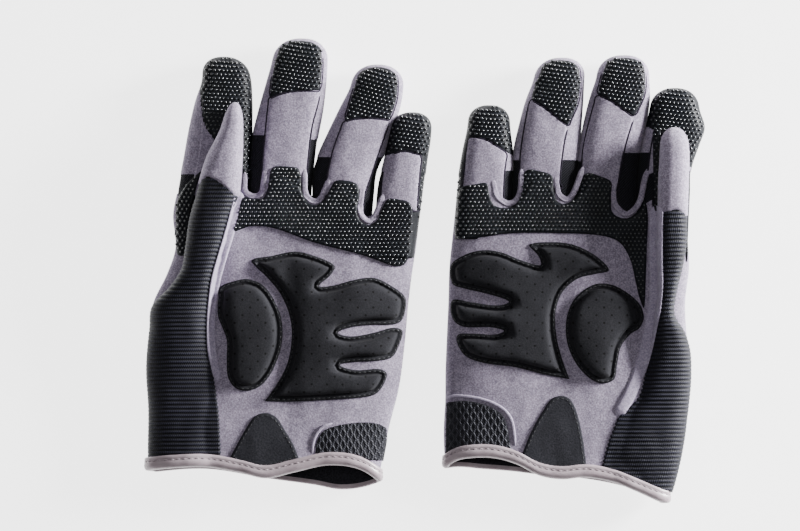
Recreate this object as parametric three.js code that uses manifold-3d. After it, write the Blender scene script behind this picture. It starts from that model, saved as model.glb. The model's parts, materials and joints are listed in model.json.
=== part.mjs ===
// A pair of riding gloves lying palm up, with the thumbs folded over the index fingers.
// Millimetres. +X across the pair, +Y towards the fingertips, +Z up from the table.
// Each glove is a hollow shell: back, palm and side panels, finger stalls in two segments, a thumb
// stall, a grip band, two foam pads, a heel patch, a mesh insert, a cuff binding and a wrist strap.

import * as THREE from 'three';
import { mergeVertices } from 'three/addons/utils/BufferGeometryUtils.js';
import Module from 'manifold-3d';

const wasm = await Module();
wasm.setup();

// Driving dimensions
const GAP = 0.3;            // clearance between pieces that touch
const WALL = 1.6;           // panel thickness: fabric and lining together
const FINGER_FLOOR = 0;     // underside of the fingers' back panels
const HAND_FLOOR = 2.4;     // underside of the hand's back panel, over the wrist strap
const PALM_TOP = 15.4;      // outer face of the palm side of hand and fingers
const PALM_LOW = PALM_TOP - WALL;
const AXIS_Z = 7.7;         // knuckle axes run through the middle of a finger
const KNUCKLE_FLEX = 75;    // degrees that the V-shaped fold gaps allow
const TIP_FLEX = 60;
const TRIM_LOW = PALM_TOP + GAP;
const BAND = 1.0;           // silicone grip band
const PAD = 4.5;            // foam pads
const PATCH = 0.9;          // suede heel patch
const MESH = 1.0;           // open mesh insert
const THUMB_LOW = 17.0;     // underside of the thumb, over the index finger
const THUMB_TOP = 36.0;
const THUMB_ROOT = 26.0;    // height of the thumb where it meets the hand
const BINDING_DROP = 8.5;   // width of the cuff binding
const BINDING_WALL = 2.2;
const STRAP = 1.2;
const LOOP_PATCH = 0.6;
const BACK_GAP = 2.5;       // gap at a fold's back edge, which lets a finger bend backwards
const STUMP = 26;           // how far a finger's base runs back into the hand
const FAR = 400;

const MATERIALS = {
  suede: { color: 0x8f8890, roughness: 0.95, metalness: 0 },
  grip: { color: 0x17191e, roughness: 0.35, metalness: 0 },
  ribbed: { color: 0x33333c, roughness: 0.85, metalness: 0 },
  fabric: { color: 0x1c1c20, roughness: 0.9, metalness: 0 },
  pad: { color: 0x2b2b2e, roughness: 0.8, metalness: 0 },
  mesh: { color: 0x3b3b3e, roughness: 0.8, metalness: 0 },
  binding: { color: 0xa39a9c, roughness: 0.5, metalness: 0 },
};

// Each finger: where its base knuckle is, its lean to +X in degrees, its length from that knuckle to
// the tip, how far along the tip's fold is, and its widths at the knuckle and at the tip.
// Outlines are in the plane of the table, in the pair's own coordinates.
const GLOVES = {
  left: {
    fingers: {
      index: { at: [-112.7, 58], lean: 3.3, length: 55.6, fold: 35.5, widths: [33, 26] },
      middle: { at: [-77.6, 61], lean: 9.2, length: 62.8, fold: 32.5, widths: [31, 26] },
      ring: { at: [-43.4, 54], lean: 16.2, length: 57.3, fold: 27, widths: [30.5, 26] },
      little: { at: [-15.2, 42], lean: 9.5, length: 42.2, fold: 19.7, widths: [22, 20] },
    },
    thumb: { at: [-121.5, -10], lean: 11.5, length: 99, widths: [18, 14], ribs: 52 },
    palm: [[-136.5, 4], [-134.5, 38], [-96, 40], [-61, 37], [-31, 28], [-6, 27], [-8.5, -8], [-12, -45],
      [-19, -78], [-24, -106], [-26, -118], [-27, -140], [-146, -140], [-148.5, -114], [-149.2, -100],
      [-149.8, -60], [-146.5, -18]],
    side: [[-160, 8], [-111.5, 8], [-114.5, -10], [-116.4, -40], [-112, -63], [-109.5, -130],
      [-160, -130]],
    cuff: [[-156, -100.5], [-118, -98.6], [-86, -104.6], [-52, -97.8], [-10, -112]],
    band: [[-132, 8], [-128, 36], [-106, 40], [-98, 38], [-86, 40], [-83.5, 53], [-68, 53],
      [-65, 38], [-59, 34.5], [-52, 41], [-48, 47], [-36, 45], [-36, 28], [-30, 24], [-21, 36],
      [-8.5, 33], [-9.5, 10], [-16, 2], [-52, 12], [-88, 22.5], [-104, 18], [-112, 10], [-120, 6]],
    palmPad: [[-93, 4.5], [-71, 9.4], [-50, 2], [-57, -8.5], [-30, -4.8], [-12, -14], [-15, -28.5],
      [-36, -31.5], [-15, -33.5], [-16.5, -44], [-36, -50.5], [-22, -55.5], [-30, -67.5],
      [-60, -70.3], [-85, -70], [-73.5, -46], [-74, -24], [-84, -6]],
    thenarPad: [[-110, -10.5], [-96, -5.2], [-83, -14], [-77, -32], [-82, -53], [-95, -64.8],
      [-106.8, -54], [-107.2, -38], [-111.8, -25]],
    heel: [[-105, -96], [-95, -82], [-86, -77], [-78, -82], [-69, -96.5], [-86, -102.8]],
    insert: [[-57.5, -94.5], [-54.5, -86.5], [-40, -82.2], [-23.5, -84.5], [-24, -95.5], [-36, -96.4]],
    strap: { x: [-104, -36], y: [-92, -68] },
  },
  right: {
    fingers: {
      index: { at: [128.8, 52], lean: 7.0, length: 45.2, fold: 28.5, widths: [27, 24] },
      middle: { at: [97.2, 57], lean: 8.7, length: 58, fold: 30, widths: [31, 27] },
      ring: { at: [63.4, 59], lean: 8.6, length: 54.7, fold: 25, widths: [30, 26] },
      little: { at: [31.3, 50], lean: 4.6, length: 37.7, fold: 17, widths: [25.5, 22] },
    },
    thumb: { at: [130.2, -16], lean: 0.4, length: 91, widths: [17, 16], ribs: 43 },
    palm: [[139.5, 4], [140.5, 36], [114, 32], [79, 36], [46, 34], [16, 34], [12.5, 0], [11, -25],
      [10, -60], [9, -90], [11.5, -106], [14, -118], [15, -145], [117, -145], [124.5, -124], [129.5, -115],
      [134, -103], [141.3, -56], [138.3, -22]],
    side: [[160, 2], [123.5, 2], [123, -22], [118, -48], [110.5, -72], [100.5, -80], [93, -105],
      [91, -135], [160, -135]],
    cuff: [[2, -100], [24, -93.2], [46, -95.6], [70, -105], [88, -103.8], [134, -122]],
    band: [[17.5, 38], [24, 42.5], [32.5, 42.5], [36, 34], [44, 33], [51, 48], [66, 50], [69, 37],
      [76, 35.5], [83, 50], [98, 46.5], [98.5, 31], [107, 27.4], [114, 36], [117.6, 24],
      [116.5, -20], [113.5, -14], [109, 4], [98, 16.5], [55, 19], [16.5, 16.5]],
    palmPad: [[13, 2], [30, 10.2], [58, 2.4], [56, 12.8], [73, 14.4], [97, -0.5], [76, -8],
      [68.8, -27], [75.5, -57.5], [28, -50], [16, -38], [38, -34], [16, -29.5], [13, -18],
      [41, -18.2], [14, -10]],
    thenarPad: [[115.6, -26], [104, -10.5], [91, -7.6], [78, -17], [74, -32], [80, -51], [93, -61],
      [101.5, -55], [103.5, -41.5], [113, -32]],
    heel: [[52, -94], [61, -77.5], [71.5, -67.6], [80.5, -77], [84.5, -99], [70, -102.5]],
    insert: [[12, -74], [26, -71.4], [40, -78], [44, -91.5], [28, -91], [12.5, -92.5]],
    strap: { x: [24, 92], y: [-90, -66] },
  },
};

// Solids: three.js geometry in, manifold booleans between, three.js geometry out
function solid(geometry) {
  const bare = geometry.index ? geometry.toNonIndexed() : geometry.clone();
  bare.deleteAttribute('normal');
  bare.deleteAttribute('uv');
  const merged = mergeVertices(bare, 1e-4);
  return new wasm.Manifold(new wasm.Mesh({
    numProp: 3,
    vertProperties: new Float32Array(merged.attributes.position.array),
    triVerts: new Uint32Array(merged.index.array),
  }));
}

function geometryOf(manifold) {
  const mesh = manifold.getMesh();
  const geometry = new THREE.BufferGeometry();
  geometry.setAttribute('position', new THREE.BufferAttribute(mesh.vertProperties, 3));
  geometry.setIndex(new THREE.BufferAttribute(mesh.triVerts, 1));
  return geometry;
}

function slab(points, low, high) {
  const shape = new THREE.Shape(points.map(([x, y]) => new THREE.Vector2(x, y)));
  const geometry = new THREE.ExtrudeGeometry(shape, { depth: high - low, bevelEnabled: false });
  geometry.translate(0, 0, low);
  return solid(geometry);
}

// A prism along X whose side view is the given (y, z) outline
function sideSlab(points, halfWidth) {
  const shape = new THREE.Shape(points.map(([y, z]) => new THREE.Vector2(y, z)));
  const geometry = new THREE.ExtrudeGeometry(shape, { depth: 2 * halfWidth, bevelEnabled: false });
  geometry.applyMatrix4(new THREE.Matrix4().makeBasis(
    new THREE.Vector3(0, 1, 0), new THREE.Vector3(0, 0, 1), new THREE.Vector3(1, 0, 0)));
  geometry.translate(-halfWidth, 0, 0);
  return solid(geometry);
}

const box = (x0, x1, y0, y1, low, high) => slab([[x0, y0], [x1, y0], [x1, y1], [x0, y1]], low, high);
const joined = (pieces) => pieces.reduce((sum, piece) => sum.add(piece));

// A closed curve through hand-placed points
function loop(points, perPoint = 2) {
  const curve = new THREE.CatmullRomCurve3(
    points.map(([x, y]) => new THREE.Vector3(x, y, 0)), true, 'centripetal');
  return curve.getPoints(points.length * perPoint).slice(0, -1).map((p) => [p.x, p.y]);
}

// The same outline moved inwards by a distance, for cavities
function inset(points, distance) {
  const area = points.reduce((sum, [x, y], i) => {
    const [u, v] = points[(i + 1) % points.length];
    return sum + x * v - u * y;
  }, 0);
  const turn = Math.sign(area);
  return points.map(([x, y], i) => {
    const [x0, y0] = points[(i + points.length - 1) % points.length];
    const [x1, y1] = points[(i + 1) % points.length];
    const along = new THREE.Vector2(x1 - x0, y1 - y0).normalize();
    return [x - turn * along.y * distance, y + turn * along.x * distance];
  });
}

// The area under the cuff's upper edge, moved up by a distance
function belowCuff(cuff, rise, low, high) {
  const curve = new THREE.SplineCurve(cuff.map(([x, y]) => new THREE.Vector2(x, y)));
  const top = curve.getPoints(cuff.length * 3).map((p) => [p.x, p.y + rise]);
  return slab([...top, [top.at(-1)[0], -FAR], [top[0][0], -FAR]], low, high);
}

// Finger coordinates: origin at the base knuckle, +Y to the tip
function fingerOutline(finger, from, to, narrower = 0) {
  const [base, tip] = finger.widths.map((w) => w / 2 - narrower);
  const end = finger.length - narrower;
  const round = tip * 0.95;
  const half = (y) => base + (tip - base) * Math.max(0, Math.min(1, y / (end - round)));
  const side = [[half(from), from], [half(Math.min(to, end - round)), Math.min(to, end - round)]];
  const outline = [...side];
  if (to > end - round) {
    for (let step = 1; step < 12; step += 1) {
      const angle = (step * Math.PI) / 12;
      outline.push([tip * Math.cos(angle), end - round + round * Math.sin(angle)]);
    }
  }
  return [...outline, ...side.reverse().map(([x, y]) => [-x, y])];
}

function inPlace(finger, piece) {
  return piece.rotate([0, 0, -finger.lean]).translate([finger.at[0], finger.at[1], 0]);
}

// The V-shaped gap that lets a fold close, with its point on the fold's axis
function foldGap(at, flex, halfWidth) {
  const rise = PALM_TOP + PAD - AXIS_Z;
  const spread = Math.tan(((flex / 2 + 2) * Math.PI) / 180) * rise;
  return sideSlab([[at - GAP, AXIS_Z - 1], [at + GAP, AXIS_Z - 1],
    [at + spread + GAP, AXIS_Z + rise], [at - spread - GAP, AXIS_Z + rise]], halfWidth)
    .add(sideSlab([[at - BACK_GAP, -1], [at + GAP, -1],
      [at + GAP, AXIS_Z], [at - GAP, AXIS_Z]], halfWidth));
}

function fingerPieces(finger) {
  const wide = finger.widths[0];
  const gaps = foldGap(0, KNUCKLE_FLEX, wide).add(foldGap(finger.fold, TIP_FLEX, wide));
  const shell = (from, to) => slab(fingerOutline(finger, from, to), FINGER_FLOOR, PALM_LOW - GAP)
    .subtract(slab(fingerOutline(finger, from - 3, to + (to > finger.fold ? 0 : 3), WALL),
      FINGER_FLOOR + WALL, PALM_TOP));
  const front = (from, to) => slab(fingerOutline(finger, from, to), PALM_LOW, PALM_TOP);
  return {
    front: front(GAP, finger.fold).subtract(gaps),
    back: shell(GAP, finger.fold - GAP).subtract(gaps),
    tip_grip: front(finger.fold, finger.length).subtract(gaps),
    tip_shell: shell(finger.fold + GAP, finger.length).subtract(gaps),
  };
}

// The thumb: a hollow stall that lies on the index finger, its root open to the hand below
function thumbPieces(thumb) {
  const rootEnd = 36;
  const profile = (inner) => sideSlab([[-inner, THUMB_LOW - inner], [thumb.length + 1, THUMB_LOW - inner],
    [thumb.length + 1, THUMB_TOP - inner], [rootEnd, THUMB_TOP - inner], [-inner, THUMB_ROOT - inner]], 30);
  const hollow = profile(WALL).intersect(slab(fingerOutline(thumb, -5, thumb.length, WALL), 0, FAR));
  const outer = profile(0).intersect(slab(fingerOutline(thumb, 0, thumb.length), 0, FAR));
  const floor = box(-30, 30, rootEnd - 8, thumb.length + 5, THUMB_LOW, THUMB_LOW + WALL);
  const hood = outer.subtract(hollow);
  const above = hood.subtract(box(-30, 30, -10, FAR, 0, THUMB_LOW + WALL + GAP));
  const openRoot = box(-30, 30, -10, rootEnd - 8 - GAP, 0, THUMB_LOW + WALL + GAP);
  const skirt = hood.intersect(openRoot);
  return {
    ribbed_base: above.add(skirt).intersect(box(-30, 30, -10, thumb.ribs, 0, FAR)),
    suede_stall: above.intersect(box(-30, 30, thumb.ribs + GAP, FAR, 0, FAR)),
    underside: floor.intersect(outer),
  };
}

function handPieces(glove) {
  const fingers = Object.values(glove.fingers);
  const outline = loop(glove.palm, 2);
  const plan = (narrower, low, high) => joined([slab(inset(outline, narrower), low, high),
    ...fingers.map((f) => inPlace(f, slab(fingerOutline(f, -STUMP, 0, narrower), low, high)))]);
  const gaps = joined(fingers.map((f) => inPlace(f, foldGap(0, KNUCKLE_FLEX, f.widths[0] * 0.55))));
  const below = (rise) => belowCuff(glove.cuff, rise, -1, THUMB_TOP);
  const side = slab(glove.side, -1, THUMB_TOP);
  const sideGap = slab(inset(glove.side, -GAP), -1, THUMB_TOP);
  const insert = slab(loop(glove.insert, 3), PALM_LOW, PALM_TOP);
  const insertHole = slab(inset(loop(glove.insert, 3), -GAP), PALM_LOW - 1, PALM_TOP + 1);
  const thumb = glove.thumb;
  const window = inPlace(thumb, box(-6.5, 6.5, 1, 22, PALM_LOW - 1, PALM_TOP + 1));
  const palmLayer = plan(0, PALM_LOW, PALM_TOP).subtract(gaps).subtract(below(GAP));
  const shell = plan(0, HAND_FLOOR, PALM_LOW - GAP)
    .subtract(plan(WALL, HAND_FLOOR + WALL, FAR))
    .subtract(gaps).subtract(below(GAP));
  const mouth = slab(inset(outline, BINDING_WALL), HAND_FLOOR + BINDING_WALL, PALM_TOP - BINDING_WALL);
  const binding = slab(inset(outline, -0.6), HAND_FLOOR, PALM_TOP + 0.8)
    .intersect(below(0)).subtract(below(-BINDING_DROP)).subtract(mouth);
  const trim = (points, thick, perPoint = 3) => slab(loop(points, perPoint), TRIM_LOW, TRIM_LOW + thick);
  const { x, y } = glove.strap;
  return {
    palm_panel: palmLayer.subtract(sideGap).subtract(insertHole),
    side_panel: palmLayer.intersect(side).subtract(window),
    back_panel: shell,
    grip_band: trim(glove.band, BAND, 2),
    palm_pad: trim(glove.palmPad, PAD),
    thenar_pad: trim(glove.thenarPad, PAD),
    heel_patch: trim(glove.heel, PATCH),
    mesh_insert: insert.intersect(slab(loop(glove.insert, 3), PALM_TOP - MESH, PALM_TOP)),
    cuff_binding: binding,
    strap_loop_patch: box(x[0] + 4, x[1] - 8, y[0] + 1, y[1] - 1, STRAP + GAP, STRAP + GAP + LOOP_PATCH),
    wrist_strap: box(x[0], x[1], y[0], y[1], 0, STRAP),
  };
}

const SLOTS = {
  palm_panel: 'suede', side_panel: 'ribbed', back_panel: 'fabric', grip_band: 'grip', palm_pad: 'pad',
  thenar_pad: 'pad', heel_patch: 'suede', mesh_insert: 'mesh', cuff_binding: 'binding',
  strap_loop_patch: 'fabric', wrist_strap: 'fabric', front: 'suede', back: 'fabric', tip_grip: 'grip',
  tip_shell: 'suede', ribbed_base: 'ribbed', suede_stall: 'suede', underside: 'suede',
};

const pair = new THREE.Group();

function addPieces(prefix, pieces, place) {
  for (const [name, piece] of Object.entries(pieces)) {
    const mesh = new THREE.Mesh(geometryOf(place(piece)), new THREE.MeshStandardMaterial(MATERIALS[SLOTS[name]]));
    mesh.name = `${prefix}_${name}`;
    pair.add(mesh);
  }
}

for (const [hand, glove] of Object.entries(GLOVES)) {
  addPieces(hand, handPieces(glove), (piece) => piece);
  for (const [name, finger] of Object.entries(glove.fingers)) {
    addPieces(`${hand}_${name}`, fingerPieces(finger), (piece) => inPlace(finger, piece));
  }
  addPieces(`${hand}_thumb`, thumbPieces(glove.thumb), (piece) => inPlace(glove.thumb, piece));
}

// The pair's box is centred on the origin, on the table
const bounds = new THREE.Box3().setFromObject(pair);
const centre = bounds.getCenter(new THREE.Vector3());
pair.position.set(-centre.x, -centre.y, -bounds.min.z);

export default pair;
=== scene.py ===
"""A pair of riding gloves lying palm up: suede fingers and palms, silicone grip, foam pads, ribbed sides."""

import json
import math

import bmesh
import bpy
import numpy as np
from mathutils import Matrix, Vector, noise
from mathutils.geometry import delaunay_2d_cdt


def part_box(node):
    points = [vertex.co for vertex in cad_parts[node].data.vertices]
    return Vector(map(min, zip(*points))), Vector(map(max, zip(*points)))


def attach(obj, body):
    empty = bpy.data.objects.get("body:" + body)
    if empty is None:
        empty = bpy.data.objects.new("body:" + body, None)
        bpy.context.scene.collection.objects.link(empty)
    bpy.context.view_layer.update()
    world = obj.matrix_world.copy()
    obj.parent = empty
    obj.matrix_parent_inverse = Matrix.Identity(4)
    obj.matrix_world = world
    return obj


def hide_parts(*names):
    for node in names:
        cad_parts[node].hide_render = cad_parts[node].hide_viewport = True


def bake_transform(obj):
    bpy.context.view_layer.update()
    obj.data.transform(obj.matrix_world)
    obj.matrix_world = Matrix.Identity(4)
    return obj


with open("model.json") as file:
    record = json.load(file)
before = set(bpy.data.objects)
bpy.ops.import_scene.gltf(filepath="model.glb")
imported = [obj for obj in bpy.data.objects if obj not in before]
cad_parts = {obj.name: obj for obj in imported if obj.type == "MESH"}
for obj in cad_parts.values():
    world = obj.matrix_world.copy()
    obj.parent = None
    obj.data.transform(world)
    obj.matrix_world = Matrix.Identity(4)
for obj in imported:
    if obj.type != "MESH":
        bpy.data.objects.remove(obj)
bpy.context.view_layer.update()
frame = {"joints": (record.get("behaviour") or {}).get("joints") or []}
JOINTS = {joint["name"]: joint for joint in frame["joints"]}

# Plan coordinates are millimetres on the table with the left middle finger's knuckle at this place
MM = 0.001
KNUCKLE = (-77.6, 61.0)
SHIFT = np.array(JOINTS["left_middle_base_fold"]["pos_m"][:2]) / MM - np.array(KNUCKLE)

SIDE_LEVEL = 7.0        # height of a glove's outline above the table
PALM_HEIGHT = 16.0      # top of an empty hand
BACK_LEVEL = 2.3        # its back lies on the strap
FINGER_HEIGHT = 15.5
DOT_PITCH = 2.2         # silicone dots of the grip
RIB_PITCH = 2.2         # ribs of the stretch side panel
STITCH = 3.4            # stitch length with its gap
PANEL = 0.7             # how far a sewn panel stands above the fabric below it
BAND = 0.9
PAD_RISE = 4.0
FLANGE = 2.6            # flat sewn edge of a pad
SWELL_FRAMES = 12       # steps of the pads' cloth simulation
SWELL_LIMIT = 1.1       # and how far it may move the foam, in millimetres


# ---------------------------------------------------------------- shapes in plan

def through(knots, at):
    """A smooth curve through (position, value, ...) knots, read at the given positions."""
    knots = np.array(sorted(knots), float)
    xs, ys = knots[:, 0], knots[:, 1:]
    if len(xs) > 2:
        slopes = np.gradient(ys, xs, axis=0)
    else:
        slopes = np.repeat(np.diff(ys, axis=0) / np.diff(xs), 2, 0)
    at = np.asarray(at, float)
    inside = np.clip(at, xs[0], xs[-1])
    i = np.clip(np.searchsorted(xs, inside) - 1, 0, len(xs) - 2)
    span = xs[i + 1] - xs[i]
    t = ((inside - xs[i]) / span)[..., None]
    span = span[..., None]
    value = ((2 * t**3 - 3 * t**2 + 1) * ys[i] + (t**3 - 2 * t**2 + t) * span * slopes[i]
             + (3 * t**2 - 2 * t**3) * ys[i + 1] + (t**3 - t**2) * span * slopes[i + 1])
    return value + (at - inside)[..., None] * np.where((at > xs[-1])[..., None], slopes[-1], slopes[0])


def loop(points, step=1.0, corners=()):
    """A closed smooth curve through points, with sharp corners at the listed points."""
    points = np.array(points, float)
    n = len(points)
    out = []
    for i in range(n):
        a, b, c, d = points[i - 1], points[i], points[(i + 1) % n], points[(i + 2) % n]
        back, here, ahead = (np.linalg.norm(q - p) for p, q in ((a, b), (b, c), (c, d)))
        into = (c - b) if i in corners else (c - a) / (here + back) * here
        away = (c - b) if (i + 1) % n in corners else (d - b) / (ahead + here) * here
        count = max(2, int(here / step))
        t = (np.arange(count) / count)[:, None]
        out.append((2 * t**3 - 3 * t**2 + 1) * b + (t**3 - 2 * t**2 + t) * into
                   + (3 * t**2 - 2 * t**3) * c + (t**3 - t**2) * away)
    return np.concatenate(out)


def path(points, step=1.0):
    """An open smooth curve through points, evenly stepped."""
    points = np.array(points, float)
    ends = np.vstack([2 * points[0] - points[1], points, 2 * points[-1] - points[-2]])
    fine = []
    for a, b, c, d in zip(ends, ends[1:], ends[2:], ends[3:]):
        t = np.linspace(0, 1, 24, endpoint=False)[:, None]
        square, cube = 2 * a - 5 * b + 4 * c - d, 3 * b - a - 3 * c + d
        fine.append(0.5 * (2 * b + (c - a) * t + square * t**2 + cube * t**3))
    fine = np.vstack([*fine, points[-1:]])
    along = np.concatenate([[0], np.cumsum(np.linalg.norm(np.diff(fine, axis=0), axis=1))])
    places = np.linspace(0, along[-1], max(2, int(along[-1] / step) + 1))
    return np.stack([np.interp(places, along, fine[:, k]) for k in range(fine.shape[1])], 1)


def edge_distance(points, outline):
    """Each point's distance to a closed outline."""
    a, b = outline, np.roll(outline, -1, axis=0)
    best = np.full(len(points), 1e9)
    for p, q in zip(a, b):
        d = q - p
        t = np.clip(((points - p) @ d) / max(d @ d, 1e-9), 0, 1)
        best = np.minimum(best, np.hypot(*(points - p - t[:, None] * d).T))
    return best


def inside(points, outline):
    """Which points lie inside a closed outline."""
    x, y = points[:, 0], points[:, 1]
    odd = np.zeros(len(points), bool)
    for (x0, y0), (x1, y1) in zip(outline, np.roll(outline, -1, axis=0)):
        crosses = (y0 > y) != (y1 > y)
        odd ^= crosses & (x < (x1 - x0) * (y - y0) / (y1 - y0 if y1 != y0 else 1e-9) + x0)
    return odd


def shrunk(outline, distance):
    """A closed outline moved inwards."""
    ahead, behind = np.roll(outline, -1, axis=0), np.roll(outline, 1, axis=0)
    along = ahead - behind
    along /= np.maximum(np.linalg.norm(along, axis=1), 1e-9)[:, None]
    x, y = outline[:, 0], outline[:, 1]
    area = np.sum(x * np.roll(y, -1) - np.roll(x, -1) * y)
    inward = np.stack([-along[:, 1], along[:, 0]], 1) * math.copysign(1, area)
    return outline + inward * distance


def creases(x, y, seed):
    """The slight unevenness of soft fabric, in millimetres."""
    flat = np.array([noise.noise((a / 17 + seed, b / 24, seed)) * 0.8
                     + noise.noise((a / 6, b / 9, seed + 7)) * 0.16
                     for a, b in zip(np.ravel(x), np.ravel(y))])
    return flat.reshape(np.shape(x))


# ---------------------------------------------------------------- the gloves' forms

def around_flat(columns, square):
    """Even places round a flattened section: how far across, -1 to 1, and how high, -1 to 1."""
    turn = np.arange(columns) * 2 * math.pi / columns
    across = np.cos(turn)
    up = np.sqrt(np.clip(1 - np.abs(across) ** (2 / square), 0, 1)) * np.sign(np.sin(turn).round(9))
    return across, up


class Tube:
    """A flattened tube of fabric along +Y. Knots are (y, left, right, low, high), the last at its tip."""

    def __init__(self, knots, rounding=0.0, square=0.62, seed=0.0):
        self.knots, self.rounding, self.square, self.seed = knots, rounding, square, seed
        self.start, self.end = knots[0][0], knots[-1][0]

    def section(self, y):
        left, right, low, high = np.moveaxis(through(self.knots, y), -1, 0)
        near = np.clip((y - (self.end - self.rounding)) / max(self.rounding, 1e-9), 0, 1)
        close = (1 - near**2.3) ** (1 / 2.3) if self.rounding else np.ones_like(near)
        middle = (left + right) / 2
        half = (right - left) / 2 * close
        level = np.minimum(low + (high - low) * 0.45, (low + high) / 2)
        return middle, half, level, level + (high - level) * close, level - (level - low) * close

    def grid(self, ys, columns):
        ys = np.asarray(ys, float)
        middle, half, level, high, low = (v[:, None] for v in self.section(ys))
        across, s = around_flat(columns, self.square)
        x = middle + half * across[None]
        z = np.where(s > 0, level + (high - level) * np.abs(s) ** 0.85,
                     level - (level - low) * np.abs(s) ** 0.7)
        y = np.repeat(ys[:, None], columns, 1)
        z = z + creases(x, y, self.seed) * np.clip(s, 0, 1) * np.clip(half / 8, 0, 1)
        return np.stack([x, y, z], -1)

    def top(self, x, y):
        middle, half, level, high, _ = self.section(y)
        c = np.abs(x - middle) / np.maximum(half, 1e-6)
        s = np.sqrt(np.clip(1 - c ** (2 / self.square), 0, 1))
        z = level + (high - level) * s**0.85 + creases(x, y, self.seed) * s * np.clip(half / 8, 0, 1)
        covered = (c < 1) & (y > self.start) & (y < self.end)
        return np.where(covered, z, -20.0)

    def skin(self, x, y):
        """The height of the tube's upper side; beyond its edge, that of the nearest place on it."""
        y = np.clip(y, self.start + 0.1, self.end - 0.15)
        middle, half, *_ = self.section(y)
        reach = np.maximum(half * 0.985, 0.05)
        return self.top(np.clip(x, middle - reach, middle + reach), y)


class Hand:
    """The hand of a glove: a flat bag from the cuff's edge to a scalloped line at the finger roots."""

    def __init__(self, sides, roots, cuff, back_cuff, mounds, seed):
        self.sides, self.roots, self.cuff, self.back_cuff = sides, roots, cuff, back_cuff
        self.mounds, self.seed = mounds, seed
        self.square = 0.42

    def height(self, x, y):
        z = PALM_HEIGHT + creases(x, y, self.seed)
        for cx, cy, wide, tall, rise in self.mounds:
            z = z + rise * np.exp(-(((x - cx) / wide) ** 2) - ((y - cy) / tall) ** 2)
        return z

    def close(self, x, y):
        to_end = through(self.roots, x)[..., 0] - y
        near = np.clip(1 - to_end / 4.5, 0, 1)
        return np.sqrt(np.clip(1 - near**2, 0, 1))

    def top(self, x, y):
        left, right = np.moveaxis(through(self.sides, y), -1, 0)
        c = np.abs(2 * (x - left) / (right - left) - 1)
        s = np.sqrt(np.clip(1 - c ** (2 / self.square), 0, 1))
        z = SIDE_LEVEL + (self.height(x, y) - SIDE_LEVEL) * s**0.8 * self.close(x, y)
        return np.where((c < 1) & (y < through(self.roots, x)[..., 0]), z, -20.0)

    def grid(self, rows, columns, inward=0.0, reach=1.0):
        across, s = around_flat(columns, self.square)
        share = 0.5 + 0.5 * across
        left0, right0 = through(self.sides, [-105.0])[0]
        left1, right1 = through(self.sides, [32.0])[0]
        x_cuff = left0 + (right0 - left0) * share
        x_root = left1 + (right1 - left1) * share
        front = through(self.cuff, x_cuff)[:, 0]
        back = through(self.back_cuff, x_cuff)[:, 0]
        start = front + (back - front) * np.clip(0.5 - s * 1.6, 0, 1)
        finish = through(self.roots, x_root)[:, 0]
        t = (1 - (1 - np.linspace(0, 1, rows)) ** 1.25)[:, None] * reach
        y = start[None] + (finish - start)[None] * t
        left, right = np.moveaxis(through(self.sides, y), -1, 0)
        x = left + inward + (right - left - 2 * inward) * share[None]
        shut = self.close(x, y)
        rise = (self.height(x, y) - SIDE_LEVEL) * shut - inward
        drop = (SIDE_LEVEL - BACK_LEVEL) * shut - inward
        z = np.where(s > 0, SIDE_LEVEL + rise * np.abs(s) ** 0.8, SIDE_LEVEL - drop * np.abs(s) ** 0.55)
        return np.stack([x, y, z], -1)


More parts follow.
